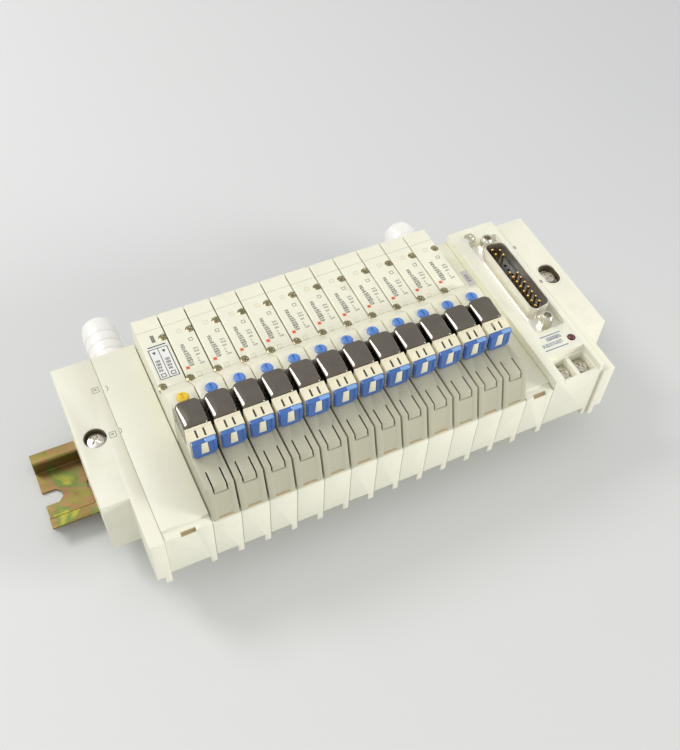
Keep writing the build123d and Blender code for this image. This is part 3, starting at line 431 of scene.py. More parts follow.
scene = bpy.context.scene
scene.view_settings.view_transform = "Standard"
camera_data = bpy.data.cameras.new("camera")
camera = bpy.data.objects.new("camera", camera_data)
camera_data.sensor_fit = "HORIZONTAL"
camera_data.sensor_width = SENSOR_WIDTH
camera_data.lens = LENS
camera_data.clip_start = 0.01
turned = Matrix((CAMERA_RIGHT, -CAMERA_DOWN, -CAMERA_FORWARD)).transposed().to_4x4()
turned.translation = CAMERA_PLACE
camera.matrix_world = turned
scene.collection.objects.link(camera)
scene.camera = camera

WORLD_LEVEL = 0.7
world = bpy.data.worlds.new("studio")
world.use_nodes = True
scene.world = world
sky = world.node_tree.nodes["Background"]
sky.inputs["Color"].default_value = (1.0, 0.995, 0.985, 1.0)
sky.inputs["Strength"].default_value = WORLD_LEVEL

LAMP_AIM = Vector((0.0, 0.0, 0.03))


def lamp(name, place, size, power, colour, gloss_only=False):
    """A round soft light. With gloss_only it shows in reflections and doesn't light matt surfaces."""
    data = bpy.data.lights.new(name, "AREA")
    data.shape = "DISK"
    data.size = size
    data.energy = power
    data.color = colour
    made = bpy.data.objects.new(name, data)
    made.location = place
    made.rotation_euler = (LAMP_AIM - Vector(place)).to_track_quat("-Z", "Y").to_euler()
    made.visible_diffuse = not gloss_only
    scene.collection.objects.link(made)


lamp("key_light", (-0.62, 0.68, 0.98), 0.46, 5.1, (1.0, 0.99, 0.97))
lamp("gloss_panel", (-0.74, 0.44, 0.86), 0.95, 17.0, (1.0, 1.0, 1.0), gloss_only=True)
lamp("fill_light", (1.1, -0.88, 0.48), 0.45, 10.4, (1.0, 0.995, 0.97))

FADE_START, FADE_END = -0.28, 0.34  # span along X over which the floor is painted darker, a painted falloff of the light
FLOOR_HALF, FLOOR_DROP = 3.0, 0.05 * MM
floor_tree = Nodes("floor_paper")
split = floor_tree.add("ShaderNodeSeparateXYZ")
floor_tree.link(floor_tree.place, split.inputs["Vector"])
across = floor_tree.spread(split.outputs["X"], 0.0, 1.0, FADE_START, FADE_END)
clouds = floor_tree.spread(floor_tree.noise(3.0, detail=2.0), 0.0, 0.3)
# Painted falloff of the light: the floor is lighter towards -X and darker towards +X.
painted_falloff = floor_tree.ramp(across, [(0.0, linear(233, 235, 235)), (1.0, linear(200, 201, 203))])
paper = floor_tree.mix(clouds, painted_falloff, linear(220, 220, 217))
floor_tree.link(paper, floor_tree.shader.inputs["Base Color"])
floor_tree.shader.inputs["Roughness"].default_value = 0.85
floor_tree.shader.inputs["Specular IOR Level"].default_value = 0.1
floor_mesh = bpy.data.meshes.new("floor")
floor_z = cad_bounds[0][2] - FLOOR_DROP
floor_mesh.from_pydata(
    [(sx * FLOOR_HALF, sy * FLOOR_HALF, floor_z) for sx, sy in ((-1, -1), (1, -1), (1, 1), (-1, 1))],
    [], [(0, 1, 2, 3)],
)
floor_mesh.materials.append(floor_tree.material)
floor = bpy.data.objects.new("floor", floor_mesh)
scene.collection.objects.link(floor)

# ------------------------------------------------------------------ moulded blocks from the CAD solids
rounded("manifold_blocks", 0.3 * MM, base_cream)
for node in ("left_supply_block", "right_supply_block", "connector_block"):
    rounded(node, 0.3 * MM, base_cream)
for node in ("left_end_block", "right_end_block"):
    rounded(node, 0.45 * MM, end_cream, segments=3)
rounded("pilot_bodies", 0.25 * MM, pilot_cream)
rounded("tube_fittings", 0.3 * MM, fitting_grey)
rounded("connector_housings", 0.2 * MM, housing_cream)
rounded("connector_plugs", 0.3 * MM, plug_blue, segments=3)
for number in STATION_NUMBERS:
    rounded("valve_body_" + number, 0.22 * MM, valve_cream)
    rounded("wiring_cover_" + number, 0.16 * MM, cover_grey)

# These keep their CAD mesh.
for node, material in (
    ("din_rail", rail_chromate),
    ("rail_clamps", clamp_chrome),
    ("valve_gaskets", gasket_rubber),
    ("wiring_boards", board_green),
):
    nodes[node].data.materials.clear()
    nodes[node].data.materials.append(material)

# ------------------------------------------------------------------ solenoid cans
lo, hi = row_box("pilot_caps")
can_width, can_length = hi.x - lo.x, hi.y - lo.y
EDGE_BACK, EDGE_FRONT = 0.9 * MM, 2.0 * MM  # rounding of the top edges, wider towards the front
CORNER_BACK, CORNER_FRONT = 2.3 * MM, 1.3 * MM  # rounding of the upright edges
FOOT_SHARE, FOOT_HEIGHT = 0.985, 0.15 * MM  # the small chamfer at the foot
EDGE_STEPS, EDGE_SWEEP = 7, 88  # the sweep, in degrees, stops short of a flat top
END_SHARE = 1.6  # the top edges run in less at the ends than the sides' 2.0
CROWN, CROWN_RINGS, CROWN_STEP, CROWN_LIFT = 0.3 * MM, 4, 0.22, 0.98
bm = bmesh.new()
for index in range(STATIONS):
    cx, cy = (lo.x + hi.x) / 2 + index * PITCH, (lo.y + hi.y) / 2
    corners = (CORNER_BACK, CORNER_BACK, CORNER_FRONT, CORNER_FRONT)
    outline = rounded_outline(can_width, can_length, corners, EDGE_STEPS)
    rings = [[Vector((cx + x * FOOT_SHARE, cy + y * FOOT_SHARE, lo.z)) for x, y in outline],
             [Vector((cx + x, cy + y, lo.z + FOOT_HEIGHT)) for x, y in outline]]
    for step in range(EDGE_STEPS + 1):
        turn = math.radians(EDGE_SWEEP * step / EDGE_STEPS)
        ring = []
        for x, y in outline:
            share = 0.5 - y / can_length
            edge = EDGE_BACK + (EDGE_FRONT - EDGE_BACK) * share
            inset = edge * (1 - math.cos(turn))
            drop = edge * (1 - math.sin(turn))
            across, along = 1 - 2 * inset / can_width, 1 - END_SHARE * inset / can_length
            ring.append(Vector((cx + x * across, cy + y * along, hi.z - CROWN - drop)))
        rings.append(ring)
    flat = rings[-1]
    for k in range(1, CROWN_RINGS + 1):
        shrink = 1 - k * CROWN_STEP
        rise = CROWN * (1 - shrink ** 2) * CROWN_LIFT
        rings.append([
            Vector((cx + (p.x - cx) * shrink, cy + (p.y - cy) * shrink, p.z + rise)) for p in flat
        ])
    loft(bm, rings)
piece("solenoid_cans", bm, can_metal, smooth=60.0, standing_for=("pilot_caps",))

# ------------------------------------------------------------------ screws
lo, hi = row_box("valve_screws")
SCREW_R, HEAD_R = 1.4 * MM, 1.55 * MM  # the solid's radius and the drawn head's
HEAD_DROP, HEAD_DOME = 0.5 * MM, 0.35 * MM  # rim below the valve's top, and dome above the rim
HEAD_CROSS = (2.0 * MM, 0.42 * MM, 0.3 * MM)  # length, width and depth
front_x, back_x = lo.x + SCREW_R, hi.x - SCREW_R
front_y, back_y = lo.y + SCREW_R, hi.y - SCREW_R
bm = bmesh.new()
for index in range(STATIONS):
    for x, y in ((front_x, front_y), (back_x, back_y)):
        turn = rng.uniform(0, math.pi / 2)
        centre = Vector((x + index * PITCH, y, body_hi.z - HEAD_DROP))
        height = cross_recess(*HEAD_CROSS, turn, HEAD_DOME, HEAD_R)
        height_disc(bm, centre, HEAD_R, lo.z, height, rings=10, sides=40)
piece("valve_screw_heads", bm, screw_nickel, smooth=30.0,
      standing_for=("valve_screws",))

# Clamp screws of the end blocks, each with a shank and a washer.
bm = bmesh.new()
lo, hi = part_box("clamp_screws")
CLAMP_R, CLAMP_RIGHT_R = 3.3 * MM, 2.9 * MM  # the head in the oval recess is drawn smaller
CLAMP_DOME, CLAMP_HEAD = 0.7 * MM, 2.4 * MM  # heights of the dome and of the whole head
CLAMP_CROSS_SHARE, CLAMP_CROSS_WIDTH, CLAMP_CROSS_DEPTH = 1.35, 0.9 * MM, 1.2 * MM
CLAMP_TURN = math.radians(40)
SHANK_R, WASHER_HOLE_R = 1.9 * MM, 2.0 * MM
WASHER_LOW, WASHER_EDGE, WASHER_HIGH = 2.48 * MM, 2.2 * MM, 1.95 * MM  # below the head's top
clamp_left = (lo.x + CLAMP_R, lo.y + CLAMP_R)
clamp_right = (hi.x - CLAMP_R, hi.y - CLAMP_R)
for (x, y), head_r in ((clamp_left, CLAMP_R), (clamp_right, CLAMP_RIGHT_R)):
    height = cross_recess(head_r * CLAMP_CROSS_SHARE, CLAMP_CROSS_WIDTH, CLAMP_CROSS_DEPTH,
                          CLAMP_TURN, CLAMP_DOME, head_r)
    centre = Vector((x, y, hi.z - CLAMP_DOME))
    height_disc(bm, centre, head_r, hi.z - CLAMP_HEAD, height, rings=18, sides=64)
    lathe(bm, [(SHANK_R, lo.z), (SHANK_R, hi.z - CLAMP_HEAD)], Vector((x, y, 0)), sides=24)
    lathe(bm, [
        (WASHER_HOLE_R, hi.z - WASHER_LOW),
        (head_r + 0.4 * MM, hi.z - WASHER_LOW),
        (head_r + 0.5 * MM, hi.z - WASHER_EDGE),
        (head_r + 0.35 * MM, hi.z - WASHER_HIGH),
        (WASHER_HOLE_R, hi.z - WASHER_HIGH),
    ], Vector((x, y, 0)), sides=40)
piece("clamp_screw_heads", bm, clamp_chrome, smooth=30.0,
      standing_for=("clamp_screws",))

# Dark liners of painted shade in the two clamp recesses, and the bezel that narrows the oval one.
block_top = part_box("right_end_block")[1].z
shade_liners, bezel = bmesh.new(), bmesh.new()
RECESS, RECESS_LONG = 8.36 * MM, 12.36 * MM  # the round recess, and the length of the oval one
LINER_FOOT = block_top - 3.4 * MM
BEZEL_WALL, BEZEL_FOOT = 0.64 * MM, block_top - 2.3 * MM
SHORTEST = 0.01 * MM  # keeps the straight sides of an outline from vanishing


def liner(bm, place, width, length, wall, low, high):
    """An upright wall along the inside of a recess, from low to high and open underneath."""
    outer = rounded_outline(width, length, width / 2 - SHORTEST, 9)
    inner = rounded_outline(width - 2 * wall, length - 2 * wall, width / 2 - wall - SHORTEST, 9)
    levels = ((outer, low), (outer, high), (inner, high), (inner, low))
    rings = [[Vector((place[0] + x, place[1] + y, z)) for x, y in ring] for ring, z in levels]
    loft(bm, rings, cap_first=False, cap_last=False)


liner(shade_liners, clamp_left, RECESS, RECESS, 0.25 * MM, LINER_FOOT, block_top - 0.35 * MM)
liner(shade_liners, clamp_right, 7.1 * MM, 9.9 * MM, 0.1 * MM, LINER_FOOT, block_top - 0.3 * MM)
liner(bezel, clamp_right, RECESS, RECESS_LONG, BEZEL_WALL, BEZEL_FOOT, block_top)
piece("clamp_recess_shade_liners", shade_liners, recess_shade, smooth=30.0)
piece("clamp_recess_bezel", bezel, end_cream, smooth=30.0)

# Fixing screw in the connector block's side recess.
bm = bmesh.new()
SIDE_SCREW_X, SIDE_SCREW_Y, SIDE_SCREW_SUNK = 75.3 * MM, 22.5 * MM, 0.75 * MM
SIDE_SCREW_R, SIDE_SCREW_RIM, SIDE_SCREW_DOME = 2.2 * MM, 0.7 * MM, 0.5 * MM
SIDE_SCREW_CROSS, SIDE_SCREW_TURN = (2.8 * MM, 0.7 * MM, 0.6 * MM), 0.9
side_screw = Vector((SIDE_SCREW_X, SIDE_SCREW_Y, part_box("connector_block")[1].z - SIDE_SCREW_SUNK))
height = cross_recess(*SIDE_SCREW_CROSS, SIDE_SCREW_TURN, SIDE_SCREW_DOME, SIDE_SCREW_R)
height_disc(bm, side_screw, SIDE_SCREW_R, side_screw.z - SIDE_SCREW_RIM, height, rings=14, sides=48)
piece("connector_fixing_screw", bm, clamp_chrome, smooth=30.0)

# Terminal screws, each on its square clamping plate.
bm = bmesh.new()
lo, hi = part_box("terminal_screws")
CELL, CLAMPING_PLATE = 6.1 * MM, 0.8 * MM
TERMINAL_R, TERMINAL_DOME, TERMINAL_FOOT = 2.6 * MM, 0.4 * MM, 0.7 * MM
TERMINAL_CROSS, TERMINAL_TURN = (3.6 * MM, 0.9 * MM, 1.1 * MM), 0.5
for x in (lo.x + CELL / 2, hi.x - CELL / 2):
    cy = (lo.y + hi.y) / 2
    plate(bm, (x - CELL / 2, lo.y, lo.z), (x + CELL / 2, hi.y, lo.z + CLAMPING_PLATE), 0.2 * MM)
    height = cross_recess(*TERMINAL_CROSS, TERMINAL_TURN, TERMINAL_DOME, TERMINAL_R)
    centre = Vector((x, cy, hi.z - TERMINAL_DOME))
    height_disc(bm, centre, TERMINAL_R, lo.z + TERMINAL_FOOT, height, rings=14, sides=48)
piece("terminal_screw_heads", bm, clamp_chrome, smooth=30.0,
      standing_for=("terminal_screws",))

# ------------------------------------------------------------------ override buttons
BUTTON_R, BUTTON_FLAT_R = 2.15 * MM, 1.65 * MM  # the whole top, and its flat middle
RIM_WIDTH, RIM_DROP = 0.5 * MM, 0.35 * MM
SLOT_HALF_WIDTH, SLOT_HALF_LENGTH, SLOT_DEPTH = 0.3 * MM, 1.3 * MM, 0.4 * MM


def button_top(x, y):
    """Height of a button's top: flat, with a slot for a screwdriver and a rounded rim."""
    r = math.hypot(x, y)
    if abs(x) < SLOT_HALF_WIDTH and abs(y) < SLOT_HALF_LENGTH:
        return -SLOT_DEPTH
    return -RIM_DROP * max(0.0, (r - BUTTON_FLAT_R) / RIM_WIDTH) ** 2


for number in STATION_NUMBERS:
    lo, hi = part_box("override_button_" + number)
    centre = Vector(((lo.x + hi.x) / 2, (lo.y + hi.y) / 2, hi.z))
    bm = bmesh.new()
    height_disc(bm, centre, BUTTON_R, lo.z, button_top, rings=16, sides=48)
    colour = button_yellow if number == STATION_NUMBERS[0] else button_blue
    piece("button_" + number, bm, colour, "override_button_" + number, 35.0,
          ("override_button_" + number,))

# ------------------------------------------------------------------ ribs on the housings, lips on the plugs with a painted highlight
h_lo, h_hi = row_box("connector_housings")
p_lo, p_hi = row_box("connector_plugs")
RIBS, RIB_PITCH, RIB_HALF_WIDTH = 9, 0.95 * MM, 0.24 * MM
ribs, lip_highlights = bmesh.new(), bmesh.new()
for index in range(STATIONS):
    shift = index * PITCH
    cx = (h_lo.x + h_hi.x) / 2 + shift
    for k in range(RIBS):
        x = cx + (k - RIBS // 2) * RIB_PITCH
        plate(ribs, (x - RIB_HALF_WIDTH, h_hi.y - 1.1 * MM, h_hi.z - 0.6 * MM),
              (x + RIB_HALF_WIDTH, h_hi.y - 0.05 * MM, h_hi.z + 0.14 * MM), 0.12 * MM)
    # A raised strip along each plug's top edge, in a lighter blue as a painted highlight.
    plate(lip_highlights, (cx + 0.3 * MM, p_lo.y - 0.02 * MM, p_hi.z - 0.75 * MM),
          (p_hi.x - 0.35 * MM + shift, p_lo.y + 1.25 * MM, p_hi.z + 0.12 * MM), 0.2 * MM)
piece("housing_ribs", ribs, housing_cream)
piece("plug_lip_highlights", lip_highlights, plug_lip_highlight_blue)

# ------------------------------------------------------------------ port plugs
lo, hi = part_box("port_plugs")
plug_r = (hi.z - lo.z) / 2
plug_z = (hi.z + lo.z) / 2
plug_x = (lo.x + plug_r, hi.x - plug_r)
back_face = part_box("left_supply_block")[1].y
PLUG_RIMS, RIM_START, RIM_PITCH, RIM_LENGTH = 5, 2.8, 4.8, 4.05  # in millimetres, like the profile
AXIS_R = 0.01 * MM  # closes a turned form at its axis
bm = bmesh.new()
# The stem in the port and the neck, then the rims with a groove between each two, then the nose.
profile = [(0.0, -8.0), (4.0, -8.0), (4.0, -0.02), (5.0, 0.0), (5.0, 2.2), (5.6, 2.7)]
reach = RIM_START
for rim in range(PLUG_RIMS):
    profile += [
        (7.0, reach), (7.2, reach + 0.12), (7.25, reach + 0.35),
        (7.25, reach + 3.7), (7.2, reach + 3.93), (7.0, reach + RIM_LENGTH),
    ]
    if rim < PLUG_RIMS - 1:
        profile += [(6.9, reach + 4.15), (6.88, reach + 4.4), (6.9, reach + 4.7)]
        reach += RIM_PITCH
tip = (hi.y - back_face) / MM
start = reach + RIM_LENGTH
profile += [
    (6.9, start + 0.15), (6.9, start + 0.6), (6.75, tip - 2.2), (6.4, tip - 1.1), (5.7, tip - 0.35),
    (4.7, tip), (3.9, tip), (3.7, tip - 0.5), (0.0, tip - 0.5),
]
turned_profile = [(radius * MM if radius else AXIS_R, along * MM) for radius, along in profile]
for x in plug_x:
    lathe(bm, turned_profile, Vector((x, back_face, plug_z)), "Y", 72)
piece("ribbed_port_plugs", bm, plug_white, smooth=40.0, standing_for=("port_plugs",))

# ------------------------------------------------------------------ multi-pin connector
rounded("dsub_shell", 0.14 * MM, shell_tin, limit=35.0)
lo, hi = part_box("dsub_insulator")
cx, cy, top = (lo.x + hi.x) / 2, (lo.y + hi.y) / 2, hi.z
insulator = rounded("dsub_insulator", 0.1 * MM, insulator_black)
PIN_PITCH, ROW_GAP = 2.76 * MM, 2.84 * MM
PIN_R, HOLE_R = 0.5 * MM, 0.6 * MM
# Per row: its side of the middle, its places, and the places that hold a pin.
rows = ((-1, 13, (0, 1, 5, 6, 7, 8, 9, 10, 11, 12)), (1, 12, (0, 1, 5, 6, 7, 8, 9, 10, 11)))
pins, holes = bmesh.new(), bmesh.new()
pin_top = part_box("dsub_pins")[1].z
for side, count, used in rows:
    for place in range(count):
        y = cy + ((count - 1) / 2 - place) * PIN_PITCH
        centre = Vector((cx + side * ROW_GAP / 2, y, 0))
        if place in used:
            lathe(pins, [
                (PIN_R, top - 0.4 * MM), (PIN_R, pin_top - 0.55 * MM), (0.44 * MM, pin_top - 0.25 * MM),
                (0.3 * MM, pin_top - 0.07 * MM), (0.12 * MM, pin_top),
            ], centre, sides=16)
        else:
            lathe(holes, [(HOLE_R, top - 2.5 * MM), (HOLE_R, top + 0.5 * MM)], centre, sides=20)
piece("dsub_contact_pins", pins, pin_gold, smooth=50.0, standing_for=("dsub_pins",))

# The empty places are cut out of the insulator.
hole_mesh = bpy.data.meshes.new("holes")
bmesh.ops.recalc_face_normals(holes, faces=holes.faces)
holes.to_mesh(hole_mesh)
holes.free()
cutter = bpy.data.objects.new("hole_cutter", hole_mesh)
scene.collection.objects.link(cutter)
carve = insulator.modifiers.new("carve", "BOOLEAN")
carve.operation = "DIFFERENCE"
carve.object = cutter
apply_modifiers(insulator)
bpy.data.objects.remove(cutter)

# Jack posts: hexagonal, with a rounded top and a plain bore.
lo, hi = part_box("dsub_standoffs")
bm = bmesh.new()
FLATS, POST_SIDES = 4.75 * MM, 36
# Share of the full radius, height, and how hexagonal the outline is there (1) or how round (0).
post_levels = (
    (1.0, lo.z, 1), (1.0, hi.z - 0.9 * MM, 1), (0.93, hi.z - 0.45 * MM, 0.3), (0.84, hi.z - 0.1 * MM, 0),
    (0.8, hi.z, 0), (0.58, hi.z, 0), (0.54, hi.z - 0.3 * MM, 0), (0.54, hi.z - 3.0 * MM, 0),
)
for y in (lo.y + (hi.x - lo.x) / 2, hi.y - (hi.x - lo.x) / 2):
    centre = Vector(((lo.x + hi.x) / 2, y, 0))
    rings = []
    for radius, z, hexagon in post_levels:
        ring = []
        for k in range(POST_SIDES):
            angle = 2 * math.pi * k / POST_SIDES
            wrapped = (angle + math.pi / 6) % (math.pi / 3) - math.pi / 6
            hex_r = FLATS / 2 / math.cos(wrapped)
            r = (hexagon * hex_r + (1 - hexagon) * FLATS / 2) * radius
            ring.append(centre + Vector((r * math.cos(angle), r * math.sin(angle), z)))
        rings.append(ring)
    loft(bm, rings)
piece("dsub_jack_posts", bm, clamp_chrome, standing_for=("dsub_standoffs",))

# Indicator lamp: a domed lens in a dark bezel.
lo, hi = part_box("indicator_lamp")
bm = bmesh.new()
LENS_SHARE = 0.78
lamp_r = (hi.x - lo.x) / 2
lens_r = lamp_r * LENS_SHARE
lamp_centre = Vector(((lo.x + hi.x) / 2, (lo.y + hi.y) / 2, 0))
lathe(bm, [
    (lens_r, lo.z), (lens_r, hi.z - 0.5 * MM), (lens_r * 0.95, hi.z - 0.28 * MM),
    (lens_r * 0.75, hi.z - 0.1 * MM), (lens_r * 0.4, hi.z - 0.02 * MM), (0.02 * MM, hi.z),
], lamp_centre, sides=32)
bezel = bmesh.new()
bezel_low, bezel_high = lo.z + 0.5 * MM, hi.z - 0.45 * MM
lathe(bezel, [
    (lens_r, bezel_low), (lens_r, bezel_high), (lamp_r, bezel_high), (lamp_r, bezel_low),
], lamp_centre, sides=32)
piece("lamp_bezel", bezel, insulator_black, smooth=30.0)
piece("lamp_lens", bm, lamp_red, smooth=60.0, standing_for=("indicator_lamp",))

# ------------------------------------------------------------------ release rings of the tube fittings
lo, hi = row_box("tube_fittings")
HALF_PORT_PITCH = 5.2 * MM
bm = bmesh.new()
for index in range(STATIONS):
    for side in (-1, 1):
        port_z = (lo.z + hi.z) / 2 + side * HALF_PORT_PITCH
        centre = Vector(((lo.x + hi.x) / 2 + index * PITCH, hi.y, port_z))
        lathe(bm, [
            (3.5 * MM, -0.4 * MM), (3.5 * MM, 0.55 * MM), (3.3 * MM, 0.8 * MM), (2.5 * MM, 0.8 * MM),
            (2.15 * MM, 0.5 * MM), (1.95 * MM, -3.0 * MM),
        ], centre, "Y", 32)
piece("release_rings", bm, base_cream, smooth=40.0)

# ------------------------------------------------------------------ prints, and painted shade in creases
INK = 0.025 * MM  # how far a print stands above its surface, and how deep it reaches into it
STROKE_WIDTHS, STROKE_GAPS, LEAST_STROKE = (0.14, 0.2, 0.3), (0.14, 0.2), 0.12 * MM
STROKE_TRIMS = (0.0, 0.0, 0.25)  # share of a stroke's length that is left out


class Prints:
    """Flat marks of one colour, gathered into one piece."""

    def __init__(self, name, material, height=INK):
        self.name, self.material, self.height = name, material, height
        self.bm = bmesh.new()

    def bar(self, x0, y0, x1, y1, z):
        """A filled rectangle on the height z."""
        plate(self.bm, (min(x0, x1), min(y0, y1), z - INK), (max(x0, x1), max(y0, y1), z + self.height))

    def frame(self, x0, y0, x1, y1, z, line):
        """The border of a rectangle, as wide as line."""
        self.bar(x0, y0, x1, y0 + line, z)
        self.bar(x0, y1 - line, x1, y1, z)
        self.bar(x0, y0 + line, x0 + line, y1 - line, z)
        self.bar(x1 - line, y0 + line, x1, y1 - line, z)

    def shape(self, points, z):
        """A filled outline."""
        loft(self.bm, [[Vector((x, y, z + level)) for x, y in points] for level in (-INK, self.height)])

    def strokes(self, x, y, width, length, z, seed):
        """A short row of plain bars, as dense as small print but without any sign."""
        pick = random.Random(seed)
        reach = x
        while reach < x + width - LEAST_STROKE:
            thick = pick.choice(STROKE_WIDTHS) * MM
            trim = pick.choice(STROKE_TRIMS) * length
            self.bar(reach, y + trim, min(reach + thick, x + width), y + length, z)
            reach += thick + pick.choice(STROKE_GAPS) * MM

    def done(self, slot_name):
        """Makes the piece, once all its marks are there."""
        piece(self.name, self.bm, self.material)


codes = Prints("valve_codes", print_dark)
faint = Prints("valve_marks", print_grey_and_jog_shade)
squares = Prints("valve_squares", valve_faint, 0.02 * MM)
dots = Prints("valve_dots", print_orange, 0.04 * MM)
# Painted shade in the crease across each valve and in the gap's tail before each front screw.
crease_shades = Prints("body_crease_shades", joint_shade, 0.02 * MM)
shadows = Prints("screw_tail_shades", groove_shade, 0.02 * MM)
top_z = body_hi.z
CODE_ROWS, LONG_ROWS, CODE_START, CODE_PITCH = 10, 6, -1.6, 1.12  # start and pitch in millimetres
CODE_LEFT, CODE_HEIGHT, CODE_SEED = 3.1 * MM, 0.9 * MM, 40
SHORT_MARKS = ((-2.0, 1.9), (-0.8, 0.6), (0.5, 0.6), (2.3, 1.7), (4.0, 1.8), (5.3, 1.8))  # place, width
MARK_LEFT, MARK_HEIGHT, MARK_SEED = 6.9 * MM, 0.85 * MM, 70
SQUARE_PLACES = (-6.0, 15.9)  # middles of the two frames along Y, in millimetres

# Every valve but the first has two columns of marks, three frames and a square dot.
for index in range(1, STATIONS):
    left = station_left(index)
    for k in range(CODE_ROWS):
        width = (1.9 if k < LONG_ROWS else 1.4) * MM
        codes.strokes(left + CODE_LEFT, (CODE_START + k * CODE_PITCH) * MM, width, CODE_HEIGHT,
                      top_z, CODE_SEED + k)
    for k, (y, width) in enumerate(SHORT_MARKS):
        faint.strokes(left + MARK_LEFT, y * MM, width * MM, MARK_HEIGHT, top_z, MARK_SEED + k)
    faint.frame(left + MARK_LEFT, 9.7 * MM, left + 8.4 * MM, 11.3 * MM, top_z, 0.22 * MM)
    for y in SQUARE_PLACES:
        squares.frame(left + 4.0 * MM, (y - 1.0) * MM, left + 6.0 * MM, (y + 1.0) * MM, top_z, 0.25 * MM)
        squares.bar(left + 4.9 * MM, (y - 0.5) * MM, left + 5.1 * MM, (y + 0.5) * MM, top_z)
    dots.bar(left + 1.5 * MM, -2.5 * MM, left + 2.8 * MM, -1.2 * MM, top_z)

# Painted shade: a crease line across each valve near its back, and the dark tail of the gap in front of
# each front screw.
RAMP_START, RAMP_SLOPE = -7.5 * MM, (61.1 - 54.0) / 7.8  # where the valve's ramp begins, and its rise
TAIL_HALF_WIDTH, TAIL_LENGTH, TAIL_HALF_HEIGHT = 0.5 * MM, 0.9 * MM, 0.05 * MM
for index in range(STATIONS):
    left = body_lo.x + index * PITCH
    crease_shades.bar(left + 0.1 * MM, 20.3 * MM, left + 9.9 * MM, 20.5 * MM, top_z)
    ramp_y = front_y - HEAD_R - 0.1 * MM
    tail_x = front_x + index * PITCH
    tail = [
        (tail_x - TAIL_HALF_WIDTH, ramp_y + 0.1 * MM),
        (tail_x, ramp_y - TAIL_LENGTH),
        (tail_x + TAIL_HALF_WIDTH, ramp_y + 0.1 * MM),
    ]
    loft(shadows.bm, [
        [Vector((x, y, top_z + max(0.0, (RAMP_START - y) * RAMP_SLOPE) + level)) for x, y in tail]
        for level in (-TAIL_HALF_HEIGHT, TAIL_HALF_HEIGHT)
    ])

# The framed label of the first valve, with bars, frames and triangles.
label = Prints("valve_label", print_label)
signs = Prints("label_signs", print_dark, 0.055 * MM)
left = station_left(0)
label.bar(left + 1.6 * MM, -3.5 * MM, left + 9.4 * MM, 13.2 * MM, top_z)
signs.frame(left + 1.8 * MM, -3.3 * MM, left + 9.2 * MM, 11.4 * MM, top_z, 0.3 * MM)
signs.bar(left + 5.35 * MM, -3.3 * MM, left + 5.6 * MM, 11.4 * MM, top_z)
signs.bar(left + 2.2 * MM, 12.2 * MM, left + 9.0 * MM, 12.7 * MM, top_z)
for x in (2.7, 6.4):
    at = left + x * MM
    signs.frame(at, -2.4 * MM, at + 1.8 * MM, -0.7 * MM, top_z, 0.28 * MM)
    for k in range(4):
        signs.strokes(at, (0.2 + k * 1.5) * MM, 1.7 * MM, 1.1 * MM, top_z, 5 + k)
    signs.shape([(at + 0.2 * MM, 9.9 * MM), (at + 0.9 * MM, 8.5 * MM), (at + 1.6 * MM, 9.9 * MM)], top_z)
faint.bar(left + 4.6 * MM, 14.2 * MM, left + 6.0 * MM, 17.8 * MM, top_z)

# Marks on the supply, connector and end blocks.
INFO_BARS = (
    (-36.9, 72.4, 81.6), (-38.4, 74.4, 80.6), (-39.3, 74.4, 80.6),
    (-41.0, 71.2, 80.2), (-41.9, 71.2, 80.2), (-43.5, 71.0, 81.4),
)  # place along Y, and from where to where along X, in millimetres
INFO_STROKES = 6
patches = Prints("info_patches", print_blue)
supply_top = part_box("right_supply_block")[1].z
connector_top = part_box("connector_block")[1].z
label_grey = Prints("right_label", label_lilac)
label_grey.bar(63.4 * MM, 1.0 * MM, 66.4 * MM, 9.8 * MM, supply_top)
for k in range(3):
    faint.strokes(64.2 * MM, (3.4 + 1.5 * k) * MM, 1.4 * MM, 1.0 * MM, supply_top, 90 + k)
for k, (y, x0, x1) in enumerate(INFO_BARS):
    if k in (0, len(INFO_BARS) - 1):
        patches.bar(x0 * MM, y * MM, x1 * MM, (y + 0.45) * MM, connector_top)
    else:
        for m in range(INFO_STROKES):
            start_x = (x0 + (x1 - x0) * m / INFO_STROKES) * MM
            patches.strokes(start_x, y * MM, 1.3 * MM, 0.85 * MM, connector_top, 20 + m + 7 * k)
end_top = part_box("left_end_block")[1].z
for x, y in ((-91.2, 12.0), (-91.3, -9.5)):
    faint.frame((x - 1.3) * MM, (y - 1.3) * MM, (x + 1.3) * MM, (y + 1.3) * MM, end_top, 0.2 * MM)
    faint.strokes((x - 0.6) * MM, (y - 0.6) * MM, 1.2 * MM, 1.2 * MM, end_top, 3)
for x, y in ((92.4, 12.8), (92.2, -8.4)):
    faint.strokes((x - 0.8) * MM, (y - 0.9) * MM, 1.5 * MM, 1.8 * MM, end_top, 8)
for marks in (codes, faint, squares, dots, crease_shades, shadows):
    marks.done("valve_cream")
label.done("plug_white")
signs.done("valve_cream")
patches.done("base_cream")
label_grey.done("base_cream")

# ------------------------------------------------------------------ painted shade in seams, slits and notches
seam_shades, slit_shades = Prints("block_seam_shades", joint_shade), Prints("housing_slit_shades", groove_shade)
notch_shades, fillers = Prints("front_notch_shades", slot_shade), Prints("ramp_bridges", pilot_cream)
gap_shades, jog_shades = Prints("valve_gap_shades", gasket_rubber), Prints("joint_jog_shades", print_grey_and_jog_shade, 0.02 * MM)
front_y_lo, back_y_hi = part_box("manifold_blocks")[0].y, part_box("manifold_blocks")[1].y
base_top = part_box("manifold_blocks")[1].z
JOINT_HALF, SEAM_HALF, GAP_SHADE_HALF = 0.1 * MM, 0.12 * MM, 0.24 * MM
SEAM_MARGIN, SEAM_FOOT = 0.35 * MM, 18.0 * MM
GAP_SHADE_FRONT, GAP_SHADE_BACK, GAP_SHADE_FOOT, GAP_SHADE_SUNK = -7.0 * MM, 26.6 * MM, 44.0 * MM, 1.6 * MM
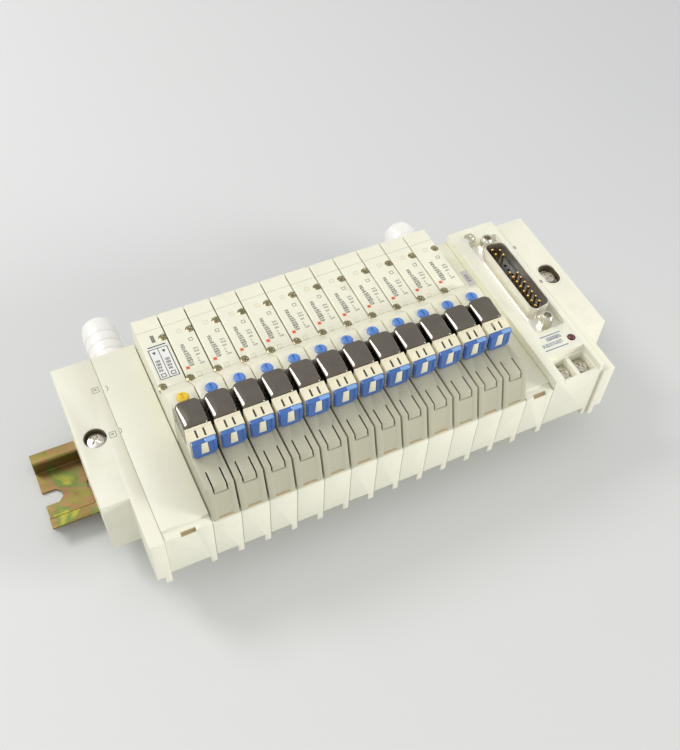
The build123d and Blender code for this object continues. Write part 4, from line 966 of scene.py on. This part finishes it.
BRIDGE_FRONT, BRIDGE_BACK, BRIDGE_SUNK = -7.52 * MM, -7.18 * MM, 0.06 * MM
SLIT_OFFSET, SLIT_HALF_WIDTH, SLIT_SUNK = 1.45 * MM, 0.34 * MM, 0.12 * MM
HOUSING_DROP, HOUSING_SLANT = 0.9 * MM, 4.8  # how far the housing's top falls, over how many millimetres
COVER_NOTCH_HALF, LEDGE_NOTCH_HALF, LEDGE_DROP = 2.5 * MM, 2.68 * MM, 1.0 * MM
joints = [(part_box(node)[0].x - JOINT_HALF, z) for node, z in (
    ("left_supply_block", end_top), ("right_supply_block", base_top), ("connector_block", end_top),
    ("right_end_block", end_top))]
joints += [(station_left(index), base_top) for index in range(STATIONS)]
# Painted shade along every joint between blocks and between valve stations.
for x, z in joints:
    plate(seam_shades.bm, (x - SEAM_HALF, front_y_lo + SEAM_MARGIN, SEAM_FOOT),
          (x + SEAM_HALF, back_y_hi - SEAM_MARGIN, z - SEAM_MARGIN))
for index in range(STATIONS):
    left = station_left(index)
    cx = (h_lo.x + h_hi.x) / 2 + index * PITCH
    # Painted shade: dark bars in the bottoms of the housing slits.
    for side in (-1, 1):
        x = cx + side * SLIT_OFFSET
        for y0, y1 in ((-38.0, -36.6), (-36.6, -35.0)):
            top = h_hi.z - HOUSING_DROP * (h_hi.y / MM - y0) / HOUSING_SLANT
            slit_shades.bar(x - SLIT_HALF_WIDTH, y0 * MM, x + SLIT_HALF_WIDTH, y1 * MM, top - SLIT_SUNK)
    fillers.bar(left + 3.3 * MM, BRIDGE_FRONT, left + 10.2 * MM, BRIDGE_BACK, top_z - BRIDGE_SUNK)
    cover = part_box(f"wiring_cover_{index + 1:02d}")
    middle = (cover[0].x + cover[1].x) / 2
    # Painted shade in the notch at the foot of each wiring cover.
    plate(notch_shades.bm, (middle - COVER_NOTCH_HALF, cover[0].y + 0.25 * MM, base_top - 0.1 * MM),
          (middle + COVER_NOTCH_HALF, cover[0].y + 0.9 * MM, base_top + 1.25 * MM))
    # Painted shade: a dark plate deep in the gap between each two valve bodies.
    if index:
        plate(gap_shades.bm, (left - GAP_SHADE_HALF, GAP_SHADE_FRONT, GAP_SHADE_FOOT),
              (left + GAP_SHADE_HALF, GAP_SHADE_BACK, top_z - GAP_SHADE_SUNK))
for node in ("left_supply_block", "right_supply_block"):
    lo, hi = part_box(node)
    middle = (lo.x + hi.x) / 2
    ledge = hi.z - LEDGE_DROP
    # Painted shade in the notch of the supply block's ledge.
    plate(notch_shades.bm, (middle - LEDGE_NOTCH_HALF, front_y_lo + 0.02 * MM, ledge - 1.25 * MM),
          (middle + LEDGE_NOTCH_HALF, front_y_lo + 1.16 * MM, ledge - 1.1 * MM))
    plate(notch_shades.bm, (middle - LEDGE_NOTCH_HALF, front_y_lo + 1.0 * MM, ledge - 1.2 * MM),
          (middle + LEDGE_NOTCH_HALF, front_y_lo + 1.18 * MM, ledge - 0.03 * MM))

# Painted shade of the joint line where it runs round two hooks beside the joint of the left end block, each
# an arc of five short pieces.
HOOK_INNER, HOOK_OUTER, HOOK_STRETCH = 0.75 * MM, 1.0 * MM, 1.3
HOOK_PARTS, HOOK_START, HOOK_STEP = 5, -75, 30  # start and step in degrees
for x, y in ((-87.6, 11.2), (-88.7, -8.9)):
    for k in range(HOOK_PARTS):
        start, end = (math.radians(HOOK_START + HOOK_STEP * step) for step in (k, k + 1))
        corners = ((HOOK_INNER, start), (HOOK_OUTER, start), (HOOK_OUTER, end), (HOOK_INNER, end))
        ring = [
            (x * MM + r * math.cos(turn), y * MM + r * HOOK_STRETCH * math.sin(turn)) for r, turn in corners
        ]
        jog_shades.shape(ring, end_top)
jog_shades.done("base_cream")
seam_shades.done("base_cream")
slit_shades.done("housing_cream")
notch_shades.done("base_cream")
fillers.done("pilot_cream")
gap_shades.done("gasket_rubber")

# Raised side rails on the plugs' front faces.
PLUG_RAILS = ((0.35, 1.35), (7.45, 8.45))  # from where to where across a plug, in millimetres
rails = bmesh.new()
for index in range(STATIONS):
    for x0, x1 in PLUG_RAILS:
        start = p_lo.x + index * PITCH
        plate(rails, (start + x0 * MM, p_lo.y - 0.22 * MM, p_lo.z + 1.7 * MM),
              (start + x1 * MM, p_lo.y + 0.3 * MM, p_hi.z - 0.9 * MM), 0.18 * MM)
piece("plug_rails", rails, plug_blue)
